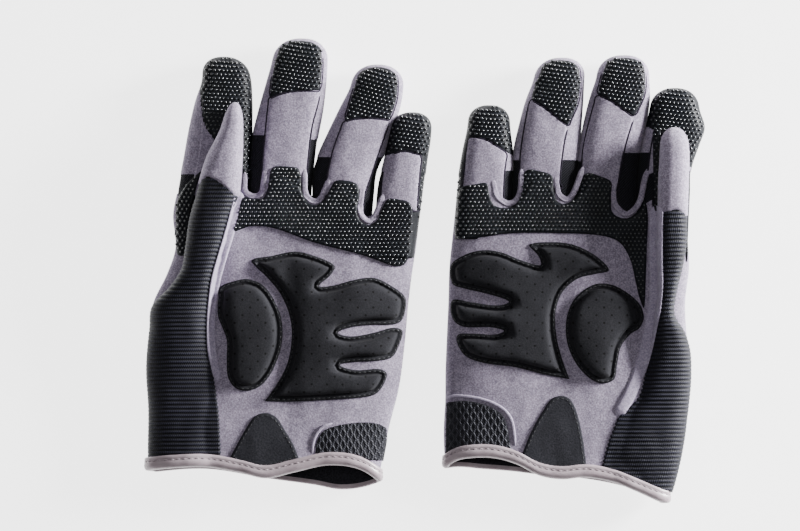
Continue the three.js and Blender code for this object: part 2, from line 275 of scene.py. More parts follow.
# Each finger: knots of its outline as (y, left, right), the last at the tip with its full width;
# where its front panel is sewn, as (y, left, right); and the places of its grip cap's lower edge.
GLOVES = {
    "left": {
        "seed": 2.0,
        "sides": [(-118, -145.4, -27), (-106, -146.6, -24.6), (-92, -147.6, -21.8), (-85, -148, -20.3),
                  (-64, -149.9, -15),
                  (-42, -149.3, -12), (-17, -146.3, -9.7), (-3, -139.5, -8), (10, -135, -6),
                  (30, -136, -3.6), (50, -131.5, -1)],
        "roots": [(-150, 30), (-136, 40), (-116, 52), (-92.5, 41), (-77, 52), (-60, 38), (-44, 46),
                  (-32, 29.5), (-15, 38), (-2, 30)],
        "cuff": [(-152, -103), (-135, -101), (-118, -100.5), (-100, -103.5), (-86, -106.5), (-72, -103.5),
                 (-52, -99.5), (-36, -102), (-22, -110)],
        "back_cuff": [(-152, -104), (-118, -102), (-86, -107), (-60, -110.5), (-44, -113), (-32, -111.5),
                      (-22, -108)],
        "mounds": [(-96, -33, 17, 28, 2.2), (-45, -30, 28, 40, 1.2), (-74, -30, 6, 34, -1.6),
                   (-112, -25, 6, 30, -1.5)],
        "fingers": {
            "index": {
                "outline": [(18, -135.4, -97), (42, -133.3, -94.2), (60, -130, -94.1), (75, -127.3, -93.8),
                            (90, -123.8, -93.8), (101, -120.3, -94.5), (113.5, -120.5, -97.5)],
                "front": [(38, -127, -97), (50, -124.5, -96.5), (72, -121, -95.6), (88, -120.4, -95.2),
                          (100, -119.4, -95.6), (107, -117, -98)],
                "top": 112.9, "wrapped": True, "plain": True,
                "cap": [(-125, 106), (-121.3, 95), (-119.4, 81), (-115.5, 72),
                                                        (-108, 66), (-99, 52), (-95.5, 44)]},
            "middle": {
                "outline": [(15, -94.5, -62), (41, -94.7, -61.8), (56, -95.2, -60.3), (70, -93.6, -58.6),
                            (84, -90.3, -56), (100, -85.8, -54.2), (110, -83, -53.6),
                            (123.3, -80.5, -53.8)],
                "front": [(38, -89, -65.5), (58, -87.5, -63.8), (75, -86, -61.8), (93, -84, -57.4),
                          (108, -82, -55.8), (116, -80, -56)],
                "top": 122.6, "cap": [(-84, 91.3), (-78, 93.6), (-70, 95), (-59, 95.2)]},
            "ring": {
                "outline": [(8, -60.5, -30.5), (40, -61.5, -28.3), (52, -61, -26.8), (62, -57.8, -22.7),
                            (73, -52.8, -19.4), (87, -46, -14.6), (97, -41, -13), (109.3, -38.5, -14)],
                "front": [(34, -54.5, -35.5), (50, -53, -30), (65, -49.5, -25), (79.5, -44.2, -19.8),
                          (92, -40.6, -15.9), (101, -38, -15.6)],
                "top": 108.6, "cap": [(-44.5, 79), (-38, 80.2), (-30, 80.6), (-21, 79.8)]},
            "little": {
                "outline": [(6, -27.5, -6.8), (31, -27.5, -3.4), (46, -26, -1.5), (58, -22.9, 0),
                            (70, -20.4, 1.8), (83.7, -18.3, 2.5)],
                "front": [(30, -25.3, -5.5), (50, -23.4, -4), (61, -21.3, -2.6), (73, -18.9, 0.3),
                          (79, -16.5, -0.5)],
                "top": 83.1, "wrapped": True,
                "cap": [(-22, 60), (-17, 62), (-12, 63), (-7, 62), (-2, 60.5)]},
        },
        "side": [(-118, -148.5, -109.3, 0.6, 15), (-99, -149.5, -109.5, 0.6, 17.2),
                 (-75, -149.3, -110.7, 0.6, 18),
                 (-53, -150.4, -114, 0.8, 19.6), (-32, -148.6, -116.2, 1.5, 22),
                 (-19, -146.6, -115.6, 3, 24),
                 (-9, -137, -114.3, 8, 26.5), (0, -131, -112.5, 12, 28.5), (10, -129, -109.9, 15, 30.5),
                 (28, -126.3, -105, 15.3, 33), (46, -121, -100.3, 15, 34.5), (62, -115, -98.8, 15, 34),
                 (76, -109, -98.6, 15, 32), (88.3, -105.6, -99, 15.5, 30)],
        "suede_edge": [(-122, 44), (-117, 49), (-112, 47.3), (-107, 43.6), (-102, 39.5)],
        "fold": [(-99.2, 43), (-102, 31), (-105.9, 17), (-109.3, 6), (-112.6, -6), (-114.4, -18),
                 (-115.2, -30),
                 (-114.9, -42), (-113.2, -52), (-111.2, -60)],
        "fold_width": 5.0,
        "band": [(-103.8, 20), (-102, 27), (-99.5, 38), (-95, 38.2), (-88, 37.8), (-85, 44), (-84, 52),
                 (-81.5, 55),
                 (-74, 55), (-68.3, 53.8), (-67, 48), (-66, 40), (-63, 35.3), (-59, 34.2), (-55.5, 37),
                 (-52, 43),
                 (-49, 47.3), (-43, 47.5), (-37, 45.3), (-35.8, 39), (-37.2, 31), (-35.5, 26), (-31, 23.7),
                 (-26.5, 26.5), (-24, 33), (-21, 37.6), (-14, 37.3), (-9, 35.5), (-7.3, 30), (-8, 18),
                 (-9.4, 7),
                 (-12.5, 2), (-17, 1.3), (-35, 7.5), (-60, 14), (-82, 21.8), (-94, 22.8)],
        "wrap": [(-120.5, 52.5), (-126, 48), (-131.5, 41.5), (-134, 36), (-134.4, 22), (-133.8, 8),
                 (-129, 7.5),
                 (-127.8, 18), (-126, 30), (-122.5, 45)],
        "palm_pad": [(-94, 4), (-92, 5.8), (-84, 7), (-71, 9.5), (-61, 7.5), (-51, 3.4), (-49, 1),
                     (-51.5, -3.5),
                     (-57.5, -9), (-50, -8.6), (-38, -5.4), (-28, -4.6), (-19, -8.8), (-12, -14.3),
                     (-11, -19),
                     (-13, -27), (-17, -29.6), (-30, -30), (-41, -31.4), (-47.3, -34), (-41, -35.8),
                     (-29, -34),
                     (-18, -31.2), (-12.9, -33), (-14.5, -40), (-18.5, -47.2), (-26, -49.2), (-38, -49.7),
                     (-46.3, -51.3), (-38, -53.8), (-25, -53.3), (-21.2, -56), (-24, -63.5), (-29, -67.7),
                     (-48, -69.7), (-74, -71), (-86.8, -70.6), (-80, -61), (-74.6, -50), (-72.3, -36),
                     (-73.5, -25),
                     (-78, -14), (-85, -5)],
        "palm_corners": (36,),
        "thenar_pad": [(-110.5, -9.5), (-103, -6.3), (-96, -5.2), (-88, -8.2), (-81.5, -16.5), (-77.5, -28),
                       (-77.7, -41), (-82, -53.5), (-88, -61.8), (-95, -65), (-102, -63.8), (-106.3, -58),
                       (-107, -48), (-107, -38), (-109.5, -31), (-111.8, -25), (-111.6, -16)],
        "heel": [(-105.5, -101), (-102, -94.5), (-97, -85.5), (-92, -78.6), (-86, -76.7), (-80.5, -79),
                 (-76, -85.5),
                 (-71, -94), (-68.3, -101), (-78, -104.5), (-88, -106), (-97, -104.5)],
        "heel_corners": (0, 8),
        "rims": [[(-97.3, 52), (-97.6, 43), (-95.6, 39.9), (-91.5, 38.9), (-88.4, 40.6), (-87.4, 46),
                  (-86.2, 55)],
                 [(-65.4, 54), (-65.3, 42), (-63, 37.6), (-59, 36.2), (-56.2, 38.6), (-53.8, 44),
                  (-51.6, 50)],
                 [(-34.2, 46), (-35.7, 33), (-34.6, 28), (-31.2, 25.7), (-28, 28), (-25.3, 34),
                  (-22.8, 41)]],
        "insert": [(-60, -100), (-58.6, -91), (-54.5, -85.8), (-46, -83), (-36, -81.8), (-27, -82.3),
                   (-21.6, -84.6),
                   (-21.2, -91), (-23.3, -103), (-32, -102), (-46, -99.5)],
        "insert_corners": (0, 6, 8),
        "piping": [(-61.4, -99), (-60.4, -91.5), (-56.5, -85), (-50, -82)],
    },
    "right": {
        "seed": 11.0,
        "sides": [(-128, 16, 122), (-115, 12.5, 128.8), (-100, 9.5, 135), (-87, 9, 138), (-70, 9.8, 140.5),
                  (-56, 9.9, 141.3), (-35, 10.7, 139.2), (-17, 11.5, 138.5), (0, 12, 140.5),
                  (22, 14.2, 139.6),
                  (40, 16, 141), (50, 17, 142)],
        "roots": [(10, 30), (18, 40), (31, 48), (44, 36.3), (60, 51), (75, 38.6), (90, 49), (106.5, 30.8),
                  (128, 46),
                  (142, 38)],
        "cuff": [(8, -103), (16, -97.5), (26, -95.5), (38, -96), (48, -99), (60, -105), (72, -107),
                 (84, -106),
                 (100, -108.6), (115, -113.6), (128, -118.4)],
        "back_cuff": [(8, -102), (16, -101), (30, -102), (48, -103.5), (60, -105), (84, -107),
                      (115, -113.4), (128, -118)],
        "mounds": [(92, -33, 17, 28, 2.2), (45, -28, 28, 40, 1.2), (72, -30, 6, 34, -1.6),
                   (112, -30, 6, 30, -1.5)],
        "fingers": {
            "index": {
                "outline": [(12, 112.5, 139.8), (40, 112.2, 141), (55, 113.2, 141.8), (66, 115, 145.5),
                            (76, 117.6, 148.6), (85, 119.6, 146), (96.7, 121.5, 144.3)],
                "front": [(50, 118, 138.8), (62, 119.5, 141.5), (76, 122.3, 145), (86, 125.2, 143),
                          (91, 127.5, 140.5)],
                "top": 96, "wrapped": True, "cap": [(117.5, 76), (122, 74), (131, 66), (140, 55)]},
            "middle": {
                "outline": [(14, 80, 112.5), (42, 79.2, 113), (55, 80.5, 113.5), (66, 82, 114.8),
                            (80, 84.6, 117.8),
                            (94, 88.3, 119.3), (101, 90.7, 118.9), (114.3, 92.6, 118.6)],
                "front": [(42, 83, 101.2), (64.5, 83.7, 105.5), (80, 87.2, 110.3), (93, 90.8, 116.2),
                          (104, 93.6, 117), (108, 95, 116.4)],
                "top": 113.5, "cap": [(90.5, 93.5), (97, 90.5), (103, 86.5), (111.5, 80.5)]},
            "ring": {
                "outline": [(16, 46.2, 79.8), (45, 46, 80.2), (62, 46.4, 81.6), (77, 49.6, 82.6),
                            (91, 53.5, 83.6),
                            (100, 57, 84), (113, 60, 84.6)],
                "front": [(42, 50, 70.5), (59, 50, 72), (74, 52, 74.7), (89.5, 55, 81), (100, 58, 82.3),
                          (105.5, 60.5, 81.8)],
                "top": 112.3, "cap": [(55.2, 91), (63, 86), (70, 80.5), (77, 74.8)]},
            "little": {
                "outline": [(16, 14.3, 45.8), (35, 15.5, 46), (49, 17, 46.2), (64, 19.5, 45.8),
                            (76, 22, 44.4),
                            (87.5, 22.9, 43.8)],
                "front": [(30, 17.8, 40.6), (50, 19.8, 41.2), (66, 21.2, 43), (76, 23.2, 43.2),
                          (82, 26.5, 41)],
                "top": 86.8, "wrapped": True,
                "cap": [(20.5, 70.5), (26, 70.3), (32, 69), (37, 66), (43.5, 61.8)]},
        },
        "side": [(-128, 91, 123.5, 0.6, 14), (-110, 92, 131.8, 0.6, 15.5), (-97, 95, 136, 0.6, 17.2),
                 (-86, 98.7, 138.6, 0.6, 17.8), (-78, 102.5, 139.8, 0.6, 18.2),
                 (-71, 110.5, 140.6, 0.7, 18.6),
                 (-56, 116, 141.6, 1, 20), (-42, 119.5, 140.6, 2, 22), (-34, 121, 138, 3, 23.5),
                 (-25, 122.3, 132.5, 7, 25), (-13, 124, 133, 12, 27), (0, 123.7, 136, 15, 28.5),
                 (12, 123.2, 138, 15, 30), (28, 123.4, 138.2, 15, 32), (45, 123.6, 138.6, 15, 33.5),
                 (60, 124.4, 139, 15, 33), (74.9, 125.2, 138.2, 15.5, 30)],
        "suede_edge": [(121, 27), (125, 30), (129, 31.2), (133, 31.6), (139, 27.5)],
        "fold": [(122.2, 34), (121.8, 22), (121.9, 4), (122.2, -8), (121.3, -20), (119.4, -30), (117, -42),
                 (113.7, -54), (109.8, -64), (105, -73), (101.4, -78.5)],
        "fold_width": 7.0,
        "beads": [(120.4, 74), (125, 76), (125.6, 50), (125, 30), (121.2, 30), (120.6, 50)],
        "band": [(15.8, 30), (16.5, 40), (18.5, 44), (25, 45.5), (32, 46), (33.6, 40), (36, 34.3),
                 (43.5, 32.9),
                 (48, 36), (50.3, 44), (51.5, 51), (54, 53.4), (60, 52.7), (67, 50), (67.9, 42),
                 (69.5, 36.5),
                 (73, 34.9), (77.7, 36.8), (80, 42), (82, 49.5), (86, 51.5), (92, 50), (98.6, 46.6),
                 (98.4, 38),
                 (98.8, 31), (102, 28), (107, 27.3), (112, 30.5), (116, 37.5), (118, 30), (117.6, 12),
                 (117, -5),
                 (116, -21), (113.5, -15.5), (111.5, -7), (108.5, 5), (103, 14), (94, 17.6), (75, 19),
                 (45, 19),
                 (24, 16.4), (15.3, 17)],
        "wrap": [(139.2, 20), (138.6, 12), (139.2, 3), (140.2, 8), (140, 16)],
        "palm_pad": [(12.6, 2), (20, 7.6), (30, 10.3), (40, 9), (50, 5), (60.5, 2.2), (59.5, 6.8),
                     (54.5, 13),
                     (65, 14.5), (77, 13.5), (88, 8.6), (96, 2), (97, -1), (90, -2.7), (80, -5.5),
                     (72.5, -12.5),
                     (69, -22), (69, -34), (72, -47), (76.3, -59), (63, -56.5), (47, -52.5), (30, -50.2),
                     (20.5, -46.5), (16, -39.5), (16.5, -35), (25, -34.3), (36, -34.9), (41, -33),
                     (34, -31.2),
                     (20, -31), (14.5, -28), (12.4, -21), (14, -16.3), (24, -17.6), (38, -19.3),
                     (43.6, -17.4),
                     (34, -13.8), (20, -10.5), (13.6, -8)],
        "palm_corners": (19,),
        "thenar_pad": [(116, -26), (114, -19), (107, -12.5), (98, -8.1), (89, -8.2), (79, -15.5),
                       (74.5, -26),
                       (74.7, -39), (79.5, -50.5), (87, -58.6), (94, -61.2), (100, -59), (101.7, -51),
                       (103.5, -42),
                       (108.5, -35), (113.5, -31.8)],
        "heel": [(50, -100.5), (56, -86), (62, -75.5), (66.5, -69.3), (71.5, -67.5), (76.5, -69.3),
                 (80, -76), (83, -88),
                 (85.6, -106), (78, -106.5), (66, -106.5), (58, -104)],
        "heel_corners": (0, 8),
        "rims": [[(34.7, 50), (37, 40), (40, 36.6), (44, 35), (48, 37.2), (50.2, 43), (50.6, 54)],
                 [(68.6, 52), (70, 41.5), (72.4, 38.2), (75, 37.3), (77.6, 39.4), (79.8, 44), (82, 50),
                  (83.6, 55)],
                 [(99.9, 48), (99.8, 37), (102.6, 31.8), (107, 29.4), (111.6, 32.6), (114.4, 38), (116, 46),
                  (118.2, 54)]],
        "insert": [(9.8, -99.5), (10, -85), (10.4, -71.2), (20, -70.3), (28, -71.5), (34.5, -73.8),
                   (40.5, -78),
                   (43.3, -85), (45, -97.5), (36, -95.5), (20, -96)],
        "insert_corners": (0, 2, 8),
        "piping": [(10.2, -69), (15, -67.8), (25, -68.6), (33, -70.7), (39.2, -73.7), (43.7, -78),
                   (46, -84), (47.2, -95)],
    },
}


# ---------------------------------------------------------------- meshes

def in_metres(x, y, z=0.0):
    """A place in plan millimetres, in the row frame."""
    return ((x + SHIFT[0]) * MM, (y + SHIFT[1]) * MM, z * MM)


def mesh_piece(name, points, faces, materials, picks=None, uv=None, smooth=True):
    """A mesh in the row frame from points in plan millimetres."""
    points = np.asarray(points, float).copy()
    points[:, :2] += SHIFT
    mesh = bpy.data.meshes.new(name)
    mesh.from_pydata((points * MM).tolist(), [], [tuple(f) for f in faces])
    for material in materials:
        mesh.materials.append(material)
    if picks is not None:
        mesh.polygons.foreach_set("material_index", np.asarray(picks, np.int32))
    if smooth:
        mesh.polygons.foreach_set("use_smooth", np.ones(len(mesh.polygons), bool))
    if uv is not None:
        layer = mesh.uv_layers.new(name="cloth")
        corners = np.empty(len(mesh.loops), np.int32)
        mesh.loops.foreach_get("vertex_index", corners)
        layer.data.foreach_set("uv", (np.asarray(uv, float)[corners] * MM).ravel())
    mesh.update()
    piece = bpy.data.objects.new(name, mesh)
    bpy.context.scene.collection.objects.link(piece)
    return piece


def grid_faces(rows, columns, closed=True, flip=False):
    faces = []
    for r in range(rows - 1):
        for c in range(columns if closed else columns - 1):
            n = (c + 1) % columns
            face = (r * columns + c, (r + 1) * columns + c, (r + 1) * columns + n, r * columns + n)
            faces.append(face[::-1] if flip else face)
    return faces


def grid_normals(grid):
    """Outward normals of a closed tube's grid, whose columns run from +X up over the top."""
    around = np.roll(grid, -1, axis=1) - np.roll(grid, 1, axis=1)
    along = np.gradient(grid, axis=0)
    normal = np.cross(along, around)
    return normal / np.maximum(np.linalg.norm(normal, axis=-1, keepdims=True), 1e-9)


def arc_lengths(grid):
    """Cloth coordinates of a tube: the way round it, and the way along it."""
    around = np.linalg.norm(np.diff(grid, axis=1, prepend=grid[:, :1]), axis=-1).cumsum(1)
    return np.stack([around, grid[..., 1]], -1)


def halves(piece, point, direction, names):
    """The piece cut straight across at a point in plan millimetres: the parts before and after it."""
    here, ahead = Vector(in_metres(*point)), Vector((*direction, 0))
    shape = bmesh.new()
    shape.from_mesh(piece.data)
    everything = shape.verts[:] + shape.edges[:] + shape.faces[:]
    bmesh.ops.bisect_plane(shape, geom=everything, plane_co=here, plane_no=ahead, dist=1e-7)
    parts = []
    for name, after in zip(names, (False, True)):
        side = shape.copy()
        away = [f for f in side.faces if ((f.calc_center_median() - here).dot(ahead) > 0) != after]
        bmesh.ops.delete(side, geom=away, context="FACES")
        if side.faces:
            mesh = piece.data.copy()
            side.to_mesh(mesh)
            mesh.name = name
            part = bpy.data.objects.new(name, mesh)
            bpy.context.scene.collection.objects.link(part)
            parts.append(part)
        else:
            parts.append(None)
        side.free()
    shape.free()
    mesh = piece.data
    bpy.data.objects.remove(piece)
    bpy.data.meshes.remove(mesh)
    return parts


def tube_piece(name, grid, materials, picks=None, closed=True, inward=False, ends=(False, False)):
    """A piece from a tube's grid. picks gives a material to each of its squares; ends closes its ends."""
    rows, columns = grid.shape[:2]
    faces = grid_faces(rows, columns, closed, inward)
    across = columns if closed else columns - 1
    chosen = [0] * len(faces) if picks is None else list(picks[:-1, :across].ravel())
    for shut, ring in zip(ends, (range(columns), range((rows - 1) * columns, rows * columns))):
        if shut:
            ring = list(ring)
            faces.append(tuple(ring if ring[0] == 0 else ring[::-1]))
            chosen.append(chosen[-1] if ring[0] else chosen[0])
    return mesh_piece(name, grid.reshape(-1, 3), faces, materials, chosen, arc_lengths(grid).reshape(-1, 2))


def rolled(distance, rise, radius=1.2):
    """The height of a sewn edge: it turns under at the outline and is flat beyond its radius."""
    near = np.clip(1 - distance / radius, 0, 1)
    return rise * np.sqrt(1 - near**2) - 0.35 * (distance < 0.05)


def cloth_points(outline, rings, spacing):
    """Points that triangulate an outline well: on it, on rings inside it, and a loose lattice within."""
    kept = [outline]
    for ring in rings:
        moved = shrunk(outline, ring)
        kept.append(moved[(edge_distance(moved, outline) > ring * 0.9) & inside(moved, outline)])
    low, high = outline.min(0), outline.max(0)
    nx, ny = ((high - low) / spacing).astype(int) + 2
    gx, gy = np.meshgrid(np.arange(nx), np.arange(ny))
    lattice = np.stack([low[0] + (gx + 0.5 * (gy % 2)) * spacing, low[1] + gy * spacing], -1).reshape(-1, 2)
    lattice = lattice[inside(lattice, outline)]
    deep = edge_distance(lattice, outline) > rings[-1] + 0.6 * spacing
    return np.concatenate(kept + [lattice[deep]])


def patch(name, outline, surface, rise, material, spacing=1.5, rings=(0.3, 0.7, 1.3, 2.1)):
    """A piece of cloth or foam laid on a surface. rise gives its height from the distance to its edge."""
    outline = np.asarray(outline, float)
    points = cloth_points(outline, rings, spacing)
    found = delaunay_2d_cdt([Vector(p) for p in points], [], [list(range(len(outline)))], 1, 1e-5, False)
    flat = np.array([tuple(v) for v in found[0]])
    distance = edge_distance(flat, outline)
    z = surface(flat[:, 0], flat[:, 1]) + rise(distance, flat)
    faces = [tuple(f) for f in found[2]]
    a, b, c = (flat[[f[k] for f in faces]] for k in range(3))
    turned = np.cross(b - a, c - a) < 0
    within = inside((a + b + c) / 3, outline)
    faces = [f[::-1] if t else f for f, t, w in zip(faces, turned, within) if w]
    return mesh_piece(name, np.column_stack([flat, z]), faces, [material], uv=flat)


def surface_frame(surface, x, y, lift):
    """Points on a surface with its normals."""
    z = surface(x, y)
    slope_x = np.clip((surface(x + 0.4, y) - surface(x - 0.4, y)) / 0.8, -3, 3)
    slope_y = np.clip((surface(x, y + 0.4) - surface(x, y - 0.4)) / 0.8, -3, 3)
    normal = np.stack([-slope_x, -slope_y, np.ones_like(z)], -1)
    normal /= np.linalg.norm(normal, axis=1)[:, None]
    return np.stack([x, y, z], -1) + normal * lift, normal


def repeated(name, shape, faces, places, across, along, up, material):
    """One mesh of many copies of a small shape, each in its own frame."""
    count, size = len(places), len(shape)
    points = (places[:, None] + shape[None, :, :1] * across[:, None] + shape[None, :, 1:2] * along[:, None]
              + shape[None, :, 2:] * up[:, None])
    all_faces = [tuple(i + k * size for i in face) for k in range(count) for face in faces]
    return mesh_piece(name, points.reshape(-1, 3), all_faces, [material])


def dots(name, outlines, surface, lift, tilt, material, size=(0.9, 0.78, 0.6), margin=0.9, keep=None):
    """Printed silicone dots in staggered rows, over the cloth inside the outlines."""
    sides = 7
    turn = np.arange(sides) * 2 * math.pi / sides
    ring = np.stack([np.cos(turn), np.sin(turn), np.zeros(sides)], 1)
    shape = np.concatenate([ring * [size[0], size[1], 0] - [0, 0, 0.15],
                            ring * [size[0] * 0.8, size[1] * 0.8, 0] + [0, 0, size[2] * 0.7],
                            [[0, 0, size[2]]]])
    faces = [(k, (k + 1) % sides, sides + (k + 1) % sides, sides + k) for k in range(sides)]
    faces += [(sides + k, sides + (k + 1) % sides, 2 * sides) for k in range(sides)]
    places = []
    slant = np.array([[math.cos(tilt), -math.sin(tilt)], [math.sin(tilt), math.cos(tilt)]])
    for outline in outlines:
        centre, reach = outline.mean(0), np.ptp(outline, axis=0).max()
        half = int(reach / DOT_PITCH) + 1
        i, j = np.meshgrid(np.arange(-half, half + 1), np.arange(-half, half + 1))
        lattice = np.stack([(i + 0.5 * (j % 2)) * DOT_PITCH, j * DOT_PITCH * 0.95], -1)
        lattice = lattice.reshape(-1, 2) @ slant.T + centre
        lattice = lattice[inside(lattice, outline)]
        places.append(lattice[edge_distance(lattice, outline) > margin])
    flat = np.concatenate(places)
    if keep is not None:
        flat = flat[keep(flat)]
    points, up = surface_frame(surface, flat[:, 0], flat[:, 1], lift)
    across = np.cross([slant[0, 1], slant[1, 1], 0], up)
    across /= np.linalg.norm(across, axis=1)[:, None]
    return repeated(name, shape, faces, points, across, np.cross(up, across), up, material)


def stitches(name, line, material, normal=None, length=2.5, thick=0.36, pitch=STITCH):
    """Thread on a seam: one small rounded stitch after another along a line of points."""
    along = np.concatenate([[0], np.cumsum(np.linalg.norm(np.diff(line, axis=0), axis=1))])
    places = np.arange(pitch / 2, along[-1], pitch)
    at = np.stack([np.interp(places, along, line[:, k]) for k in range(3)], 1)
    ahead = np.stack([np.interp(places + 0.5, along, line[:, k]) for k in range(3)], 1)
    behind = np.stack([np.interp(places - 0.5, along, line[:, k]) for k in range(3)], 1)
    direction = ahead - behind
    direction /= np.maximum(np.linalg.norm(direction, axis=1), 1e-9)[:, None]
    up = np.tile([0.0, 0.0, 1.0], (len(at), 1)) if normal is None else np.stack(
        [np.interp(places, along, normal[:, k]) for k in range(3)], 1)
    across = np.cross(direction, up)
    across /= np.maximum(np.linalg.norm(across, axis=1), 1e-9)[:, None]
    up = np.cross(across, direction)
    turn = np.arange(6) * math.pi / 3
    ring = np.stack([np.cos(turn) * thick, np.zeros(6), np.sin(turn) * thick * 0.8], 1)
    half = length / 2
    shape = np.concatenate([[[0, -half, -0.15]], ring + [0, -half * 0.6, 0], ring + [0, half * 0.6, 0],
                            [[0, half, -0.15]]])
    faces = [(0, 1 + (k + 1) % 6, 1 + k) for k in range(6)]
    faces += [(1 + k, 1 + (k + 1) % 6, 7 + (k + 1) % 6, 7 + k) for k in range(6)]
    faces += [(13, 7 + k, 7 + (k + 1) % 6) for k in range(6)]
    return repeated(name, shape, [f[::-1] for f in faces], at, across, direction, up, material)


def welt(name, line, surface, width, rise, material, sink=0.4):
    """A rolled fold of cloth along a line in plan."""
    line = path(line, 0.8)
    along = np.gradient(line, axis=0)
    along /= np.linalg.norm(along, axis=1)[:, None]
    side = np.stack([along[:, 1], -along[:, 0]], 1)
    ends = np.clip(np.minimum(np.arange(len(line)), np.arange(len(line))[::-1]) / 5, 0, 1) ** 0.5
    over = np.linspace(-1, 1, 13)
    flat = line[:, None] + side[:, None] * (over[None, :, None] * width / 2 * ends[:, None, None])
    crown = (1 - np.abs(over) ** 4) ** 0.4
    z = surface(flat[..., 0], flat[..., 1]) - sink + (rise + sink) * crown[None] * ends[:, None]
    grid = np.concatenate([flat, z[..., None]], -1)
    uv = np.stack([np.repeat(over[None] * width / 2, len(line), 0),
                   np.repeat(np.arange(len(line))[:, None] * 0.8, 13, 1)], -1)
    return mesh_piece(name, grid.reshape(-1, 3), grid_faces(len(line), 13, False, True), [material],
                      uv=uv.reshape(-1, 2))


# ---------------------------------------------------------------- materials

def colour(text):
    """An sRGB hex colour as linear light."""
    parts = [int(text[k:k + 2], 16) / 255 for k in (1, 3, 5)]
    return (*[p / 12.92 if p <= 0.04045 else ((p + 0.055) / 1.055) ** 2.4 for p in parts], 1)


def node(tree, kind, settings=None, links=None, values=None, stops=(), into=None):
    """Adds a node with its settings, links, socket values and colour stops, and links it into a socket."""
    new = tree.nodes.new(kind)
    for key, value in (settings or {}).items():
        setattr(new, key, value)
    for key, value in (values or {}).items():
        new.inputs[key].default_value = value
    for key, source in (links or {}).items():
        tree.links.new(source, new.inputs[key])
    for _ in stops[2:]:
        new.color_ramp.elements.new(0.5)
    for k, (position, shade) in enumerate(stops):
        new.color_ramp.elements[k].position = position
        new.color_ramp.elements[k].color = colour(shade)
    if into is not None:
        tree.links.new(new.outputs[0], into)
    return new


def finish(name, **values):
    """A new material, its tree, its shader's sockets, and its places on the object and on the cloth."""
    material = bpy.data.materials.new(name)
    material.use_nodes = True
    tree = material.node_tree
    sockets = tree.nodes["Principled BSDF"].inputs
    for key, value in values.items():
        sockets[key.replace("_", " ")].default_value = value
    place = node(tree, "ShaderNodeTexCoord")
    return material, tree, sockets, {"Vector": place.outputs["Object"]}, {"Vector": place.outputs["UV"]}


def per_mm(size):
    """A texture scale that repeats once every size millimetres, on coordinates in metres."""
    return 1 / (size * MM)


def bands(size):
    """The same for a wave of bands, which turns 20 radians for each unit."""
    return 2 * math.pi / 20 / (size * MM)


def suede(name, dark, mid, light):
    """Synthetic suede, brushed: short fibres, so it is matt, mottled and pale at grazing angles."""
    material, tree, sockets, on_object, _ = finish(
        name, Roughness=0.96, Sheen_Weight=0.12, Sheen_Roughness=0.5, Specular_IOR_Level=0.08)
    nap = node(tree, "ShaderNodeTexNoise", links=on_object,
               values={"Scale": per_mm(3), "Detail": 4, "Roughness": 0.7})
    fibre = node(tree, "ShaderNodeTexNoise", links=on_object,
                 values={"Scale": per_mm(0.9), "Detail": 2, "Roughness": 0.8})
    both = node(tree, "ShaderNodeMix", {"data_type": "FLOAT"}, values={0: 0.3},
                links={2: fibre.outputs["Fac"], 3: nap.outputs["Fac"]})
    node(tree, "ShaderNodeValToRGB", links={"Fac": both.outputs[0]},
         stops=[(0.38, dark), (0.5, mid), (0.62, light)], into=sockets["Base Color"])
    node(tree, "ShaderNodeBump", values={"Strength": 0.5, "Distance": 0.25 * MM},
         links={"Height": fibre.outputs["Fac"]}, into=sockets["Normal"])
    return material


def grip_knit():
    """Black elastic knit under the printed dots: fine loops, a little gloss where the silicone soaks in."""
    material, tree, sockets, on_object, _ = finish("grip_knit", Roughness=0.5, Specular_IOR_Level=0.12)
    loops = node(tree, "ShaderNodeTexVoronoi", values={"Scale": per_mm(0.9), "Randomness": 0.4},
                 links=on_object)
    node(tree, "ShaderNodeValToRGB", links={"Fac": loops.outputs["Distance"]},
         stops=[(0.0, "#1b1e24"), (0.7, "#0a0b0e")], into=sockets["Base Color"])
    node(tree, "ShaderNodeBump", values={"Strength": 0.4, "Distance": 0.2 * MM},
         links={"Height": loops.outputs["Distance"]}, into=sockets["Normal"])
    return material


def silicone():
    """Screen-printed silicone, cured: black, smooth and wet-looking."""
    material, tree, sockets, on_object, _ = finish(
        "printed_silicone", Roughness=0.2, IOR=1.43, Specular_IOR_Level=0.75)
    dust = node(tree, "ShaderNodeTexNoise", values={"Scale": per_mm(6), "Detail": 3}, links=on_object)
    node(tree, "ShaderNodeValToRGB", links={"Fac": dust.outputs["Fac"]},
         stops=[(0.35, "#0d0f13"), (0.7, "#1b1e25")], into=sockets["Base Color"])
    return material


